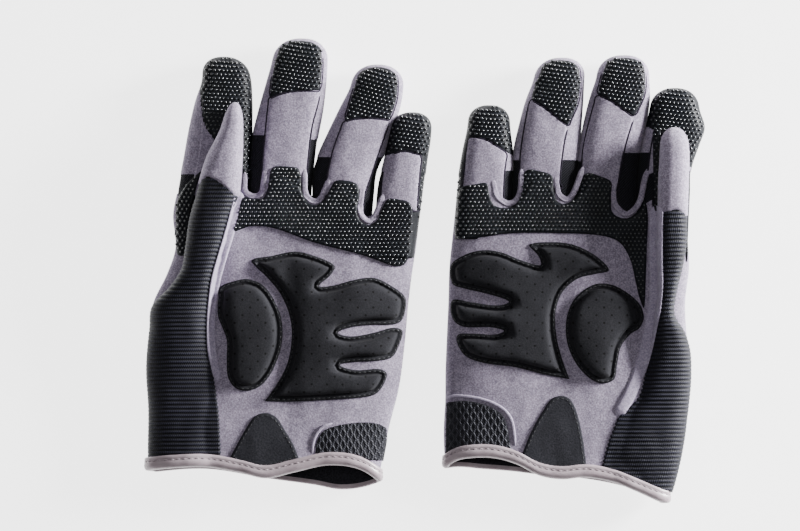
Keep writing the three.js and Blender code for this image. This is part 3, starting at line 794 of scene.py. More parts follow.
def ribbed_knit():
    """Polyester stretch fabric, knitted in ribs: painted highlight on the ribs' backs, painted shade in the
    valleys, threads across.
    """
    material, tree, sockets, on_object, on_cloth = finish(
        "ribbed_stretch_fabric", Roughness=0.6, Sheen_Weight=0.06, Sheen_Roughness=0.4,
        Specular_IOR_Level=0.2)
    thread = node(tree, "ShaderNodeTexWave", {"bands_direction": "X"}, links=on_cloth,
                  values={"Scale": bands(1.1), "Distortion": 1.5, "Detail": 2, "Detail Scale": 2})
    wear = node(tree, "ShaderNodeTexNoise", values={"Scale": per_mm(14), "Detail": 4}, links=on_object)
    # Height on the ribs' wave, read only to paint the crests lighter and the valleys darker: painted
    # highlight and painted shade
    rib_crest_painted_light = node(tree, "ShaderNodeAttribute", {"attribute_name": "rib_crest_painted_light"})
    woven = node(tree, "ShaderNodeMix", {"data_type": "FLOAT"}, values={0: 0.35},
                 links={2: thread.outputs["Fac"], 3: wear.outputs["Fac"]})
    weave_times_painted_rib_light = node(tree, "ShaderNodeMath", {"operation": "MULTIPLY"},
                 links={0: woven.outputs[0], 1: rib_crest_painted_light.outputs["Fac"]})
    # Thread and mottling times that height: the lighter crests are painted highlight, the dark valleys
    # painted shade
    node(tree, "ShaderNodeValToRGB", links={"Fac": weave_times_painted_rib_light.outputs[0]},
         stops=[(0.12, "#030306"), (0.4, "#0e0e18"), (0.7, "#222232")], into=sockets["Base Color"])
    node(tree, "ShaderNodeBump", values={"Strength": 0.5, "Distance": 0.2 * MM},
         links={"Height": thread.outputs["Fac"]}, into=sockets["Normal"])
    return material


def pad_fabric():
    """Microfibre laminated on foam and punched: matt charcoal, small holes in a staggered pattern."""
    material, tree, sockets, on_object, on_cloth = finish(
        "perforated_pad_microfibre", Roughness=0.82, Sheen_Weight=0.03, Specular_IOR_Level=0.1)
    turned = node(tree, "ShaderNodeMapping", values={"Rotation": (0, 0, math.radians(45))}, links=on_cloth)
    holes = node(tree, "ShaderNodeTexVoronoi", {"voronoi_dimensions": "2D"},
                 values={"Scale": per_mm(5.8), "Randomness": 0.0},
                 links={"Vector": turned.outputs["Vector"]})
    hole = node(tree, "ShaderNodeMath", {"operation": "GREATER_THAN"}, values={1: 0.105},
                links={0: holes.outputs["Distance"]})
    grain = node(tree, "ShaderNodeTexNoise", links=on_object,
                 values={"Scale": per_mm(0.9), "Detail": 4, "Roughness": 0.7})
    base = node(tree, "ShaderNodeValToRGB", links={"Fac": grain.outputs["Fac"]},
                stops=[(0.3, "#161619"), (0.7, "#252529")])
    mix = node(tree, "ShaderNodeMix", {"data_type": "RGBA"}, values={6: colour("#050506")},
               links={0: hole.outputs[0], 7: base.outputs["Color"]})
    tree.links.new(mix.outputs[2], sockets["Base Color"])
    depth = node(tree, "ShaderNodeMath", {"operation": "MULTIPLY_ADD"}, values={1: 2.0},
                 links={0: hole.outputs[0], 2: grain.outputs["Fac"]})
    node(tree, "ShaderNodeBump", values={"Strength": 0.5, "Distance": 0.25 * MM},
         links={"Height": depth.outputs[0]}, into=sockets["Normal"])
    return material


def lined_cloth(name, place, size, distortion, detail, dark, light, relief, **values):
    """Fabric or yarn with fine diagonal ridges, place giving the surface that they follow."""
    material, tree, sockets, on_object, on_cloth = finish(name, **values)
    ridge = node(tree, "ShaderNodeTexWave", {"bands_direction": "DIAGONAL"},
                 values={"Scale": bands(size), "Distortion": distortion, "Detail": detail},
                 links=on_cloth if place == "cloth" else on_object)
    node(tree, "ShaderNodeValToRGB", links={"Fac": ridge.outputs["Fac"]},
         stops=[(0.1, dark), (0.9, light)], into=sockets["Base Color"])
    node(tree, "ShaderNodeBump", values={"Strength": relief[0], "Distance": relief[1] * MM},
         links={"Height": ridge.outputs["Fac"]}, into=sockets["Normal"])
    return material


def plain_cloth(name, dark, light, roughness):
    """Thin knitted lining, microfibre or tape: soft, matt, slightly uneven."""
    material, tree, sockets, on_object, _ = finish(
        name, Roughness=roughness, Sheen_Weight=0.02, Specular_IOR_Level=0.1)
    weave = node(tree, "ShaderNodeTexNoise", values={"Scale": per_mm(0.9), "Detail": 4}, links=on_object)
    node(tree, "ShaderNodeValToRGB", links={"Fac": weave.outputs["Fac"]},
         stops=[(0.3, dark), (0.7, light)], into=sockets["Base Color"])
    node(tree, "ShaderNodeBump", values={"Strength": 0.5, "Distance": 0.25 * MM},
         links={"Height": weave.outputs["Fac"]}, into=sockets["Normal"])
    return material


def binding_leather():
    """Polyurethane leather tape, embossed: warm grey, soft sheen, a very fine pebbled grain."""
    material, tree, sockets, on_object, _ = finish(
        "polyurethane_binding_tape", Roughness=0.38, Specular_IOR_Level=0.5)
    grain = node(tree, "ShaderNodeTexVoronoi", values={"Scale": per_mm(0.7)}, links=on_object)
    shade = node(tree, "ShaderNodeTexNoise", values={"Scale": per_mm(8), "Detail": 3}, links=on_object)
    node(tree, "ShaderNodeValToRGB", links={"Fac": shade.outputs["Fac"]},
         stops=[(0.3, "#7f7278"), (0.7, "#9b8e94")], into=sockets["Base Color"])
    node(tree, "ShaderNodeBump", values={"Strength": 0.25, "Distance": 0.12 * MM},
         links={"Height": grain.outputs["Distance"]}, into=sockets["Normal"])
    return material


def thread(name, dark, light):
    """Bonded polyester thread, twisted: smooth, with a slight change in its tone."""
    material, tree, sockets, on_object, _ = finish(name, Roughness=0.5, Specular_IOR_Level=0.45)
    twist = node(tree, "ShaderNodeTexNoise", values={"Scale": per_mm(0.6), "Detail": 2}, links=on_object)
    node(tree, "ShaderNodeValToRGB", links={"Fac": twist.outputs["Fac"]},
         stops=[(0.2, dark), (0.9, light)], into=sockets["Base Color"])
    return material


SUEDE = suede("synthetic_suede", "#645d6d", "#7e7586", "#9991a2")
# A lighter copy of the same suede: its extra lightness is painted highlight, used for the lit fold by the
# thumb and for the mesh piping
PAINTED_LIT_SUEDE = suede("synthetic_suede_painted_lit", "#7a7184", "#8e8599", "#a39aae")
KNIT = grip_knit()
SILICONE = silicone()
RIBBED = ribbed_knit()
# Fine-ribbed elastane jersey, knitted: black, thin, its diagonal ribs just visible
FABRIC = lined_cloth("fine_ribbed_stretch_fabric", "cloth", 0.75, 0.6, 1, "#0b0b0e", "#1d1d23", (0.6, 0.25),
                     Roughness=0.8, Sheen_Weight=0.03, Sheen_Roughness=0.5, Specular_IOR_Level=0.1)
PAD = pad_fabric()
# Polyester air mesh, warp-knitted: dark grey twisted yarn with a slight gloss
YARN = lined_cloth("air_mesh_yarn", "object", 0.7, 2, 2, "#15151a", "#2f2f37", (0.5, 0.15),
                   Roughness=0.6, Sheen_Weight=0.03, Specular_IOR_Level=0.2)
LINING = plain_cloth("brushed_knit_lining", "#161619", "#2b2b30", 0.95)
HEEL = plain_cloth("charcoal_microfibre", "#19191d", "#2a2a2f", 0.92)
HOOKS = plain_cloth("hook_and_loop_tape", "#0b0b0c", "#26262a", 0.9)
BINDING = binding_leather()
PALE_THREAD = thread("pale_polyester_thread", "#b9b2b4", "#d8d2d4")
# Thread a little darker than the tape: partly its own tone, partly painted shade of the dents the stitches
# press in
TAPE_THREAD_DENT_SHADE = thread("tape_thread_painted_dent_shade", "#6c6268", "#8a7e85")
# A dark bead along the finger seams: its darkness is painted seam shadow as well as thread
SEAM_SHADOW = plain_cloth("seam_shadow_thread", "#15121a", "#26222c", 0.95)
DARK_THREAD = thread("dark_polyester_thread", "#0f0f12", "#1f1f24")


# ---------------------------------------------------------------- each glove

def smooth_max(a, b, soft=1.5):
    near = np.clip(1 - np.abs(a - b) / soft, 0, 1)
    return np.maximum(a, b) + 0.25 * soft * near**2


def cut_by(outline, line, below):
    """The part of a closed outline below or above a line of (x, y) knots that crosses it twice."""
    kept = (outline[:, 1] < through(line, outline[:, 0])[:, 0]) == below
    if kept.all():
        return outline
    start = next(i for i in range(len(kept)) if kept[i] and not kept[i - 1])
    ordered = np.roll(outline, -start, axis=0)[:int(kept.sum())]
    count = max(3, int(np.hypot(*(ordered[0] - ordered[-1]))))
    xs = np.linspace(ordered[-1, 0], ordered[0, 0], count)[1:-1]
    return np.vstack([ordered, np.stack([xs, through(line, xs)[:, 0]], 1)])


def panel_outline(knots, top):
    """The outline of a finger's front panel, from its sides' (y, left, right) knots and its tip."""
    low, high = knots[0][0], knots[-1][0]
    ys = np.arange(low, high, 1.0)
    left, right = through(knots, ys).T
    l, r = knots[-1][1:]
    turn = np.linspace(math.pi, 0, 24)
    tip = np.stack([(l + r) / 2 + (r - l) / 2 * np.cos(turn), high + (top - high) * np.sin(turn) ** 0.9], 1)
    return np.vstack([np.stack([left, ys], 1), tip, np.stack([right, ys], 1)[::-1]])


class Glove:
    def __init__(self, side):
        plan = GLOVES[side]
        self.side, self.plan = side, plan
        self.hand = Hand(plan["sides"], plan["roots"], plan["cuff"], plan["back_cuff"], plan["mounds"],
                         plan["seed"])
        self.fingers = {}
        for k, (name, finger) in enumerate(plan["fingers"].items()):
            knots = [(y, left, right, 0.3, FINGER_HEIGHT) for y, left, right in finger["outline"]]
            rounding = (knots[-1][2] - knots[-1][1]) * 0.42
            self.fingers[name] = Tube(knots, rounding, seed=plan["seed"] + k + 1)
        self.thumb = Tube(plan["side"], 10, 0.7, plan["seed"] + 9)

    def name(self, part):
        return f"{self.side}_{part}"

    def palm(self, x, y):
        z = self.hand.top(x, y)
        for tube in self.fingers.values():
            z = smooth_max(z, tube.top(x, y))
        return z

    def skin(self, x, y):
        """The palm's surface for what is sewn on it, which ends at the gloves' sides."""
        return np.maximum(self.palm(x, y), SIDE_LEVEL - 1.5)

    def over(self, x, y):
        return smooth_max(self.skin(x, y), self.thumb.top(x, y), 1.0)

    def fold(self, finger):
        """Where a finger folds: its joint at the palm, its direction, and how far off its second fold is."""
        here = np.array(JOINTS[self.name(f"{finger}_base_fold")]["pos_m"][:2]) / MM - SHIFT
        there = np.array(JOINTS[self.name(f"{finger}_tip_fold")]["pos_m"][:2]) / MM - SHIFT
        reach = np.hypot(*(there - here))
        return here, (there - here) / reach, reach

    def put(self, piece, slot, *nodes, body="hand"):
        """A piece that moves with one body."""
        self.stand(piece, slot, *nodes)
        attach(piece, self.name(body))

    def stand(self, piece, slot, *nodes):
        if nodes:
            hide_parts(*[self.name(n) for n in nodes])

    def on_finger(self, piece, finger, slot, low_nodes=(), high_nodes=()):
        """Splits a finger's piece halfway between its two folds, hides the listed parts, and bakes each
        half's transform in place.
        """
        here, along, reach = self.fold(finger)
        middle = here + along * reach / 2
        name = piece.name
        low, high = halves(piece, middle, along, (f"{name}_low", f"{name}_high"))
        base, last = self.name(finger), self.name(f"{finger}_tip")
        if low is not None:
            self.stand(low, slot, *low_nodes)
            self.name("hand")
            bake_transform(low)
        if high is not None:
            self.stand(high, slot, *high_nodes)
            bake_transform(high)

    def on_thumb(self, piece, slot, *nodes):
        """Hides the listed parts and bakes the piece's transform in place."""
        self.stand(piece, slot, *nodes)
        x = JOINTS[self.name("thumb_lift")]["pos_m"][0] / MM - SHIFT[0]
        self.name("hand")
        self.name("thumb")
        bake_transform(piece)


# Where the suede wraps round the sides of each fingertip, from these places up, (left, right)
SIDE_STRIPS = {
    "left": {"index": (50, 50), "middle": (71, 69), "ring": (59, 59), "little": (52, 50)},
    "right": {"little": (49, 52), "ring": (57.5, 57.5), "middle": (57.5, 62), "index": (62, 52)},
}


# The little fingers' grip runs down their outer edge: on the +X side, or on the -X side
OUTER_EDGE = {("left", "little"): 1, ("right", "little"): -1}


def tube_outline(tube):
    """A tube's outline in plan, just inside its edge."""
    share = np.linspace(0, 1, 120)
    ys = tube.start + (tube.end - 0.25 - tube.start) * (1 - (1 - share) ** 2)
    middle, half, *_ = tube.section(ys)
    half = np.maximum(half - 0.35, 0.2)
    return np.vstack([np.stack([middle - half, ys], 1), np.stack([middle + half, ys], 1)[::-1]])


def build_hand(glove):
    """The palm's suede, the back's stretch fabric and the lining seen through the cuff."""
    rows, columns = 140, 300
    grid = glove.hand.grid(rows, columns)
    top = (np.arange(-6, columns // 2 + 7)) % columns
    bottom = np.arange(columns // 2 + 6, columns - 5)
    palm = tube_piece(glove.name("palm_suede"), grid[:, top], [SUEDE], closed=False)
    glove.put(palm, "suede", "palm_panel")
    back = tube_piece(glove.name("back_fabric"), grid[:, bottom], [FABRIC], closed=False)
    glove.put(back, "fabric", "back_panel")
    inner = glove.hand.grid(70, 240, inward=2.2, reach=0.8)
    lining = tube_piece(glove.name("lining"), inner, [LINING], inward=True)
    glove.put(lining, "fabric")


def build_finger(glove, name):
    plan, tube = glove.plan["fingers"][name], glove.fingers[name]
    share = np.linspace(0, 1, 120)
    ys = tube.start + (tube.end - tube.start - 0.06) * (1 - (1 - share) ** 1.7)
    grid = tube.grid(ys, 80)
    left_strip, right_strip = SIDE_STRIPS[glove.side][name]
    middle = ((grid[:, :1, 0] + grid[:, 40:41, 0]) / 2)
    strip = np.where(grid[..., 0] < middle, left_strip, right_strip)
    rise = np.sin(np.arange(80) * 2 * math.pi / 80)[None]
    suede = (grid[..., 1] > strip) & (rise > -0.75)
    amount = np.clip((grid[..., 1] - strip) / 1.2, 0, 1) * np.clip((rise + 0.75) / 0.15, 0, 1)
    outer = OUTER_EDGE.get((glove.side, name))
    cloth = suede.astype(int)
    if plan.get("wrapped"):
        beyond = grid[..., 1] > through(plan["cap"], grid[..., 0])[..., 0]
        cloth = np.where(beyond & (rise > -0.6), 2, cloth)
    if outer:
        edge_side = (grid[..., 0] - middle) * outer > 0
        cloth = np.where(edge_side & (rise > -0.5), 2, cloth)
    grid = grid + grid_normals(grid) * (0.4 * amount)[..., None]
    shell = tube_piece(glove.name(f"{name}_stall"), grid, [FABRIC, SUEDE, KNIT], cloth, ends=(True, True))
    glove.on_finger(shell, name, "fabric", [f"{name}_back"], [f"{name}_tip_shell"])

    whole = panel_outline(plan["front"], plan["top"])
    front = cut_by(whole, plan["cap"], True)
    tip = tube_outline(tube) if plan.get("wrapped") else whole
    cap = cut_by(tip, plan["cap"], False)
    piece = patch(glove.name(f"{name}_front_suede"), front, tube.skin, lambda d, p: rolled(d, PANEL),
                  SUEDE, 1.6)
    glove.on_finger(piece, name, "suede", [f"{name}_front"])
    piece = patch(glove.name(f"{name}_grip_cap"), cap, tube.skin, lambda d, p: rolled(d, BAND), KNIT, 1.6)
    glove.on_finger(piece, name, "grip", (), [f"{name}_tip_grip"])
    _, along, _ = glove.fold(name)
    tilt = -math.atan2(along[0], along[1])
    piece = dots(glove.name(f"{name}_cap_dots"), [cap], tube.skin, BAND, tilt, SILICONE, margin=0.9)
    glove.on_finger(piece, name, "grip")
    if outer:
        ys = np.arange(tube.start + 20, min(k[1] for k in plan["cap"]), 1.0)
        sewn = through(plan["front"], ys)[:, 1 if outer > 0 else 0] + 0.4 * outer
        middle, half, *_ = tube.section(ys)
        edge = middle + (half - 0.12) * outer
        ring = np.vstack([np.stack([sewn, ys], 1), np.stack([edge, ys], 1)[::-1]])
        piece = dots(glove.name(f"{name}_edge_dots"), [ring], tube.skin, 0.1, tilt, SILICONE, margin=0.12)
        glove.on_finger(piece, name, "grip")
    if "plain" in plan:
        return
    for edge, label in ((front, "low"), (cap, "cap")):
        line = shrunk(edge, -0.3)
        middle, half, *_ = tube.section(line[:, 1])
        shown = np.abs(line[:, 0] - middle) < half - 1.2
        first = np.flatnonzero(shown & ~np.roll(shown, 1))
        start = int(first[0]) if len(first) else 0
        line, shown = np.roll(line, -start, axis=0), np.roll(shown, -start)
        changes = np.flatnonzero(np.diff(shown.astype(int))) + 1
        for k, run in enumerate(np.split(np.arange(len(line)), changes)):
            if shown[run[0]] and len(run) > 6:
                # The bead's dark colour is painted seam shadow as well as thread
                piece = welt(glove.name(f"{name}_seam_{label}_{k + 1}"), line[run][::3], tube.skin,
                             width=0.9, rise=0.68, material=SEAM_SHADOW, sink=0.1)
                glove.on_finger(piece, name, "suede")


def build_thumb(glove):
    """The ribbed side panel, which runs up into the thumb, and the thumb's suede stall."""
    plan, tube, hand = glove.plan, glove.thumb, glove.hand
    columns = 96
    edge_x = np.array(plan["suede_edge"])[:, 0]
    split, rib_rows = -40.0, 5

    def place(ys, warp_from=None):
        """The tube's surface, with its lower end cut along the cuff and never below the hand's surface."""
        grid = tube.grid(ys, columns)
        x, y = grid[..., 0], grid[..., 1]
        cuff = through(plan["cuff"], x)[..., 0]
        y = y + (cuff - ys[0]) * np.clip(1 - (y - ys[0]) / 30, 0, 1) if warp_from == "cuff" else y
        edge = through(plan["suede_edge"], np.clip(x, edge_x.min() - 1, edge_x.max() + 1))[..., 0]
        if warp_from == "suede":
            y = y + (edge - ys[-1]) * np.clip((y - ys[-1] + 24) / 24, 0, 1) ** 1.5
        if warp_from == "stall":
            y = y + (edge - 0.4 - ys[0]) * np.clip(1 - (y - ys[0]) / 30, 0, 1)
        left, right = np.moveaxis(through([k[:3] for k in plan["side"]], y), -1, 0)
        tuck = np.clip(np.minimum(x - left, right - x) / 1.3, 0, 1)
        above = np.where(np.arange(columns) <= columns // 2, 0.6, -0.7)[None]
        z = np.maximum(grid[..., 2], hand.top(x, y) - 1.2 + (above + 1.2) * tuck)
        return np.stack([x, y, z], -1)

    def ribbed(grid):
        wave = np.abs(np.sin(math.pi * grid[..., 1] / RIB_PITCH)) ** 0.8
        strength = np.clip(np.abs(np.sin(np.arange(columns) * 2 * math.pi / columns)) * 3, 0.25, 1)[None]
        return grid + grid_normals(grid) * ((0.8 * wave - 0.35) * strength)[..., None]

    def mark_ribs(piece):
        """How high each place is on the ribs' wave, kept to paint highlight on the crests and shade in the
        valleys.
        """
        ys = np.array([v.co.y for v in piece.data.vertices]) / MM - SHIFT[1]
        layer = piece.data.attributes.new("rib_crest_painted_light", "FLOAT", "POINT")
        layer.data.foreach_set("value", np.abs(np.sin(math.pi * ys / RIB_PITCH)).astype(np.float32))

    low = through(plan["cuff"], [np.mean([k[1] for k in plan["side"][:2]]) + 15])[0, 0]
    ys = np.arange(low, split + 0.01, RIB_PITCH / rib_rows)
    ys = np.append(ys, split)
    grid = ribbed(place(ys, "cuff"))
    top = np.arange(-4, columns // 2 + 9) % columns
    panel = tube_piece(glove.name("ribbed_side"), grid[:, top], [RIBBED], closed=False)
    mark_ribs(panel)
    glove.put(panel, "ribbed", "side_panel")
    mean_edge = float(np.mean(np.array(plan["suede_edge"])[:, 1]))
    ys = np.append(np.arange(split, mean_edge, RIB_PITCH / rib_rows), mean_edge)
    grid = ribbed(place(ys, "suede"))
    base = tube_piece(glove.name("ribbed_thumb"), grid[:, top], [RIBBED], closed=False)
    mark_ribs(base)
    glove.on_thumb(base, "ribbed", "thumb_ribbed_base")
    share = np.linspace(0, 1, 70)
    ys = mean_edge + (tube.end - 0.05 - mean_edge) * (1 - (1 - share) ** 1.7)
    grid = place(ys, "stall")
    edge = through(plan["suede_edge"], grid[..., 0])[..., 0] - 0.4
    rise = 0.75 * np.sqrt(np.clip((grid[..., 1] - edge) / 1.4, 0, 1)) - 0.1
    grid = grid + grid_normals(grid) * rise[..., None]
    stall = tube_piece(glove.name("suede_thumb"), grid[:, top], [SUEDE], closed=False)
    glove.put(stall, "suede", "thumb_suede_stall", body="thumb")
    ys = split + (tube.end - 0.05 - split) * (1 - (1 - np.linspace(0, 1, 120)) ** 1.4)
    grid = place(ys)
    under = np.arange(columns // 2 + 7, columns - 2)
    piece = tube_piece(glove.name("thumb_underside"), grid[:, under], [FABRIC], closed=False)
    glove.on_thumb(piece, "fabric", "thumb_underside")
    def draped(x, y):
        """The surface under the fold, which clears the ribs on the thumb's steep side."""
        return np.maximum(glove.over(x, y), np.maximum(glove.over(x - 0.8, y), glove.over(x + 0.8, y)))

    # The fold is drawn in the lighter copy of the suede, whose extra lightness is painted highlight
    fold = welt(glove.name("thumb_fold"), plan["fold"], draped, plan["fold_width"], 1.3, PAINTED_LIT_SUEDE)
    glove.on_thumb(fold, "suede")
    if "beads" in plan:
        outline = loop(plan["beads"], 1.0, (0, 1, 3, 4))
        piece = patch(glove.name("beaded_strip"), outline, glove.skin, lambda d, p: rolled(d, BAND + 0.3),
                      KNIT, 1.5)
        glove.on_finger(piece, "index", "grip")
        piece = dots(glove.name("beaded_strip_dots"), [outline], glove.skin, BAND + 0.3, 0.0, SILICONE,
                     margin=0.5)
        glove.on_finger(piece, "index", "grip")


def pad_profile(distance, points):
    """A stitched flange, a groove, and the foam's rounded shoulder."""
    swell = np.clip((distance - FLANGE - 0.4) / 3.2, 0, 1)
    groove = 0.75 * np.exp(-((distance - FLANGE) / 0.6) ** 2)
    return rolled(distance, 1.0) - groove + (PAD_RISE - 1.0) * np.sqrt(np.clip(1 - (1 - swell) ** 2, 0, 1))


def inflate(pad, outline):
    """Swells the foam under its cover by cloth simulation, with the flange sewn down."""
    rest = np.array([v.co for v in pad.data.vertices])
    flat = rest[:, :2] / MM - SHIFT
    sewn = pad.vertex_groups.new(name="sewn_flange")
    sewn.add(np.flatnonzero(edge_distance(flat, outline) < FLANGE + 0.5).tolist(), 1.0, "REPLACE")
    cloth = pad.modifiers.new("foam_pressure", "CLOTH")
    cloth.settings.quality = 4
    cloth.settings.mass = 0.2
    cloth.settings.tension_stiffness = cloth.settings.compression_stiffness = 12
    cloth.settings.bending_stiffness = 3
    cloth.settings.use_pressure = True
    cloth.settings.uniform_pressure_force = 4
    cloth.settings.vertex_group_mass = "sewn_flange"
    cloth.settings.effector_weights.gravity = 0
    cloth.collision_settings.use_collision = False
    cloth.point_cache.frame_start, cloth.point_cache.frame_end = 1, SWELL_FRAMES
    for step in range(1, SWELL_FRAMES + 1):
        bpy.context.scene.frame_set(step)
    bpy.ops.object.select_all(action="DESELECT")
    pad.select_set(True)
    bpy.context.view_layer.objects.active = pad
    bpy.ops.object.modifier_apply(modifier=cloth.name)
    bpy.context.scene.frame_set(1)
    swollen = np.array([v.co for v in pad.data.vertices])
    moved = swollen - rest
    length = np.linalg.norm(moved, axis=1)[:, None]
    moved *= np.minimum(1, SWELL_LIMIT * MM / np.maximum(length, 1e-9))
    pad.data.vertices.foreach_set("co", (rest + moved).ravel())
    pad.data.update()


def build_pad(glove, name, corners):
    outline = loop(glove.plan[name], 1.0, corners)
    rings = (0.3, 0.8, 1.5, 2.2, 2.6, 3.0, 3.5, 4.1, 4.9, 5.9)
    pad = patch(glove.name(f"{name}_foam"), outline, glove.skin, pad_profile, PAD, 1.5, rings)
    inflate(pad, outline)
    glove.put(pad, "pad", name)
    line = shrunk(outline, 1.3)
    line = line[edge_distance(line, outline) > 1.1]
    points, normal = surface_frame(glove.skin, line[:, 0], line[:, 1], 1.05)
    seam = stitches(glove.name(f"{name}_seam"), points, DARK_THREAD, normal, length=1.9, thick=0.24,
                    pitch=2.7)
    glove.put(seam, "pad")


def build_trims(glove):
    plan = glove.plan
    for name in ("band", "wrap"):
        outline = loop(plan[name], 1.0)
        surface = glove.skin
        piece = patch(glove.name(f"grip_{name}_knit"), outline, surface, lambda d, p: rolled(d, BAND + 0.4),
                      KNIT, 1.6)
        glove.put(piece, "grip", *(["grip_band"] if name == "band" else []))
        if name == "band" or glove.side == "left":
            piece = dots(glove.name(f"grip_{name}_dots"), [outline], surface, BAND + 0.4, 0.0, SILICONE)
            glove.put(piece, "grip")
    for k, rim in enumerate(plan["rims"]):
        piece = welt(glove.name(f"crotch_rim_{k + 1}"), rim, lambda x,
                     y: np.maximum(glove.skin(x, y), 14.8),
                     3.3, 1.1, SUEDE, 0.6)
        glove.put(piece, "suede")
    build_pad(glove, "palm_pad", plan["palm_corners"])
    build_pad(glove, "thenar_pad", ())
    outline = loop(plan["heel"], 1.0, plan["heel_corners"])
    heel = patch(glove.name("heel_microfibre"), outline, glove.skin, lambda d, p: rolled(d, 1.0), HEEL, 1.8)
    glove.put(heel, "pad", "heel_patch")
    line = shrunk(outline, 1.6)
    points, normal = surface_frame(glove.skin, line[:, 0], line[:, 1], 1.0)
    seam = stitches(glove.name("heel_seam"), points, DARK_THREAD, normal, length=1.9, thick=0.2, pitch=2.7)
    glove.put(seam, "pad")
    if "piping" in plan:
        # The piping uses the same lighter copy of the suede, whose extra lightness is painted highlight
        line = welt(glove.name("mesh_piping"), plan["piping"], glove.skin, 1.7, 0.9, PAINTED_LIT_SUEDE)
        glove.put(line, "suede")
    build_insert(glove)


def build_insert(glove):
    """Open air mesh at the wrist: a thin ground with a lattice of yarn over it."""
    outline = loop(glove.plan["insert"], 1.0, glove.plan["insert_corners"])
    ground = patch(glove.name("mesh_ground"), outline, glove.skin, lambda d, p: rolled(d, 0.5), LINING, 1.8)
    glove.put(ground, "mesh", "mesh_insert")
    low, high = outline.min(0), outline.max(0)
    strands = []
    cell_x, cell_y, wide = 3.7, 3.0, 0.8
    t = np.arange(0, high[1] - low[1] + 2, 0.375)
    for k in range(int((high[0] - low[0]) / cell_x * 2) + 3):
        wave = 0.5 * (1 - np.cos(2 * math.pi * t / (2 * cell_y)))
        x = low[0] + (k - 1) * cell_x / 2 + (cell_x / 2 - wide * 0.9) * (wave if k % 2 else 1 - wave) + 0.3
        line = np.stack([x, low[1] + t], 1)
        good = inside(line, outline) & (edge_distance(line, outline) > 0.4)
        for run in np.split(np.arange(len(t)), np.flatnonzero(np.diff(good.astype(int))) + 1):
            if good[run[0]] and len(run) > 5:
                strands.append(line[run])
    points, faces, count = [], [], 0
    for line in strands:
        along = np.gradient(line, axis=0)
        along /= np.linalg.norm(along, axis=1)[:, None]
        side = np.stack([along[:, 1], -along[:, 0]], 1)
        z = glove.skin(line[:, 0], line[:, 1]) + 0.75
        for off, drop in ((-wide, 0.45), (-wide * 0.55, 0.0), (wide * 0.55, 0.0), (wide, 0.45)):
            points.append(np.column_stack([line + side * off, z - drop]))
        n = len(line)
        for c in range(3):
            faces += [(count + c * n + r, count + (c + 1) * n + r, count + (c + 1) * n + r + 1,
                       count + c * n + r + 1)
                      for r in range(n - 1)]
        count += 4 * n
    piece = mesh_piece(glove.name("mesh_strands"), np.concatenate(points), faces, [YARN])
    glove.put(piece, "mesh")


def build_binding(glove):
    """The tape folded over the edge of the cuff, all the way round, with its row of stitches."""
    hand, columns = glove.hand, 240
    start = hand.grid(12, columns)[0]
    around = np.roll(start, -1, axis=0) - np.roll(start, 1, axis=0)
    outward = np.stack([around[:, 2], np.zeros(columns), -around[:, 0]], 1)
    outward /= np.maximum(np.linalg.norm(outward, axis=1), 1e-9)[:, None]
    front = np.clip(np.sin(np.arange(columns) * 2 * math.pi / columns) * 3, -1, 1)
    side_tube = glove.thumb.top(start[:, 0], start[:, 1] + 4)
    lift = np.where(front > 0, np.clip(side_tube - start[:, 2], 0, 3.0), 0)
    upper = 1.8
    # How far below its upper edge the tape is, and how far out from the cloth, all the way round it
    profile = [(0.1, -0.4), (0, 0.9), (0.5, 1.5), (1.8, 1.55), (2.4, 1.3), (3.0, 1.6), (4.4, 1.8),
               (6.0, 1.45), (6.9, 0.5), (7.2, -0.5), (6.9, -1.4), (6.2, -1.9), (4.6, -2.0), (4.4, -2.0),
               (0, -1.9), (0.1, -1.0)]
    rows = []
    for below, out in profile:
        away = out + lift * (1 if out > -0.5 else 0.5)
        rows.append(start + outward * away[:, None] + np.array([0, upper - below, 0]))
    grid = np.stack(rows, 1)
    count = len(profile)
    faces = []
    for c in range(columns):
        n = (c + 1) % columns
        faces += [(c * count + r, n * count + r, n * count + (r + 1) % count, c * count + (r + 1) % count)
                  for r in range(count)]
    along = np.linalg.norm(around, axis=1).cumsum() / 2
    uv = np.stack(np.broadcast_arrays(along[:, None], np.arange(count)[None] * 1.0), -1)
    picks = [1 if count - 3 <= r else 0 for _ in range(columns) for r in range(count)]
    piece = mesh_piece(glove.name("cuff_tape"), grid.reshape(-1, 3), faces, [BINDING, LINING], picks,
                       uv.reshape(-1, 2))
    glove.put(piece, "binding", "cuff_binding")
    line = start + outward * (1.45 + lift)[:, None] + np.array([0, upper - 2.4, 0])
    line = np.vstack([line, line[:1]])
    normal = np.vstack([outward, outward[:1]])
    # The darker colour of these stitches is partly painted shade of their dents
    seam = stitches(glove.name("cuff_stitches"), line, TAPE_THREAD_DENT_SHADE, normal, length=2.4, thick=0.3)
    glove.put(seam, "binding")


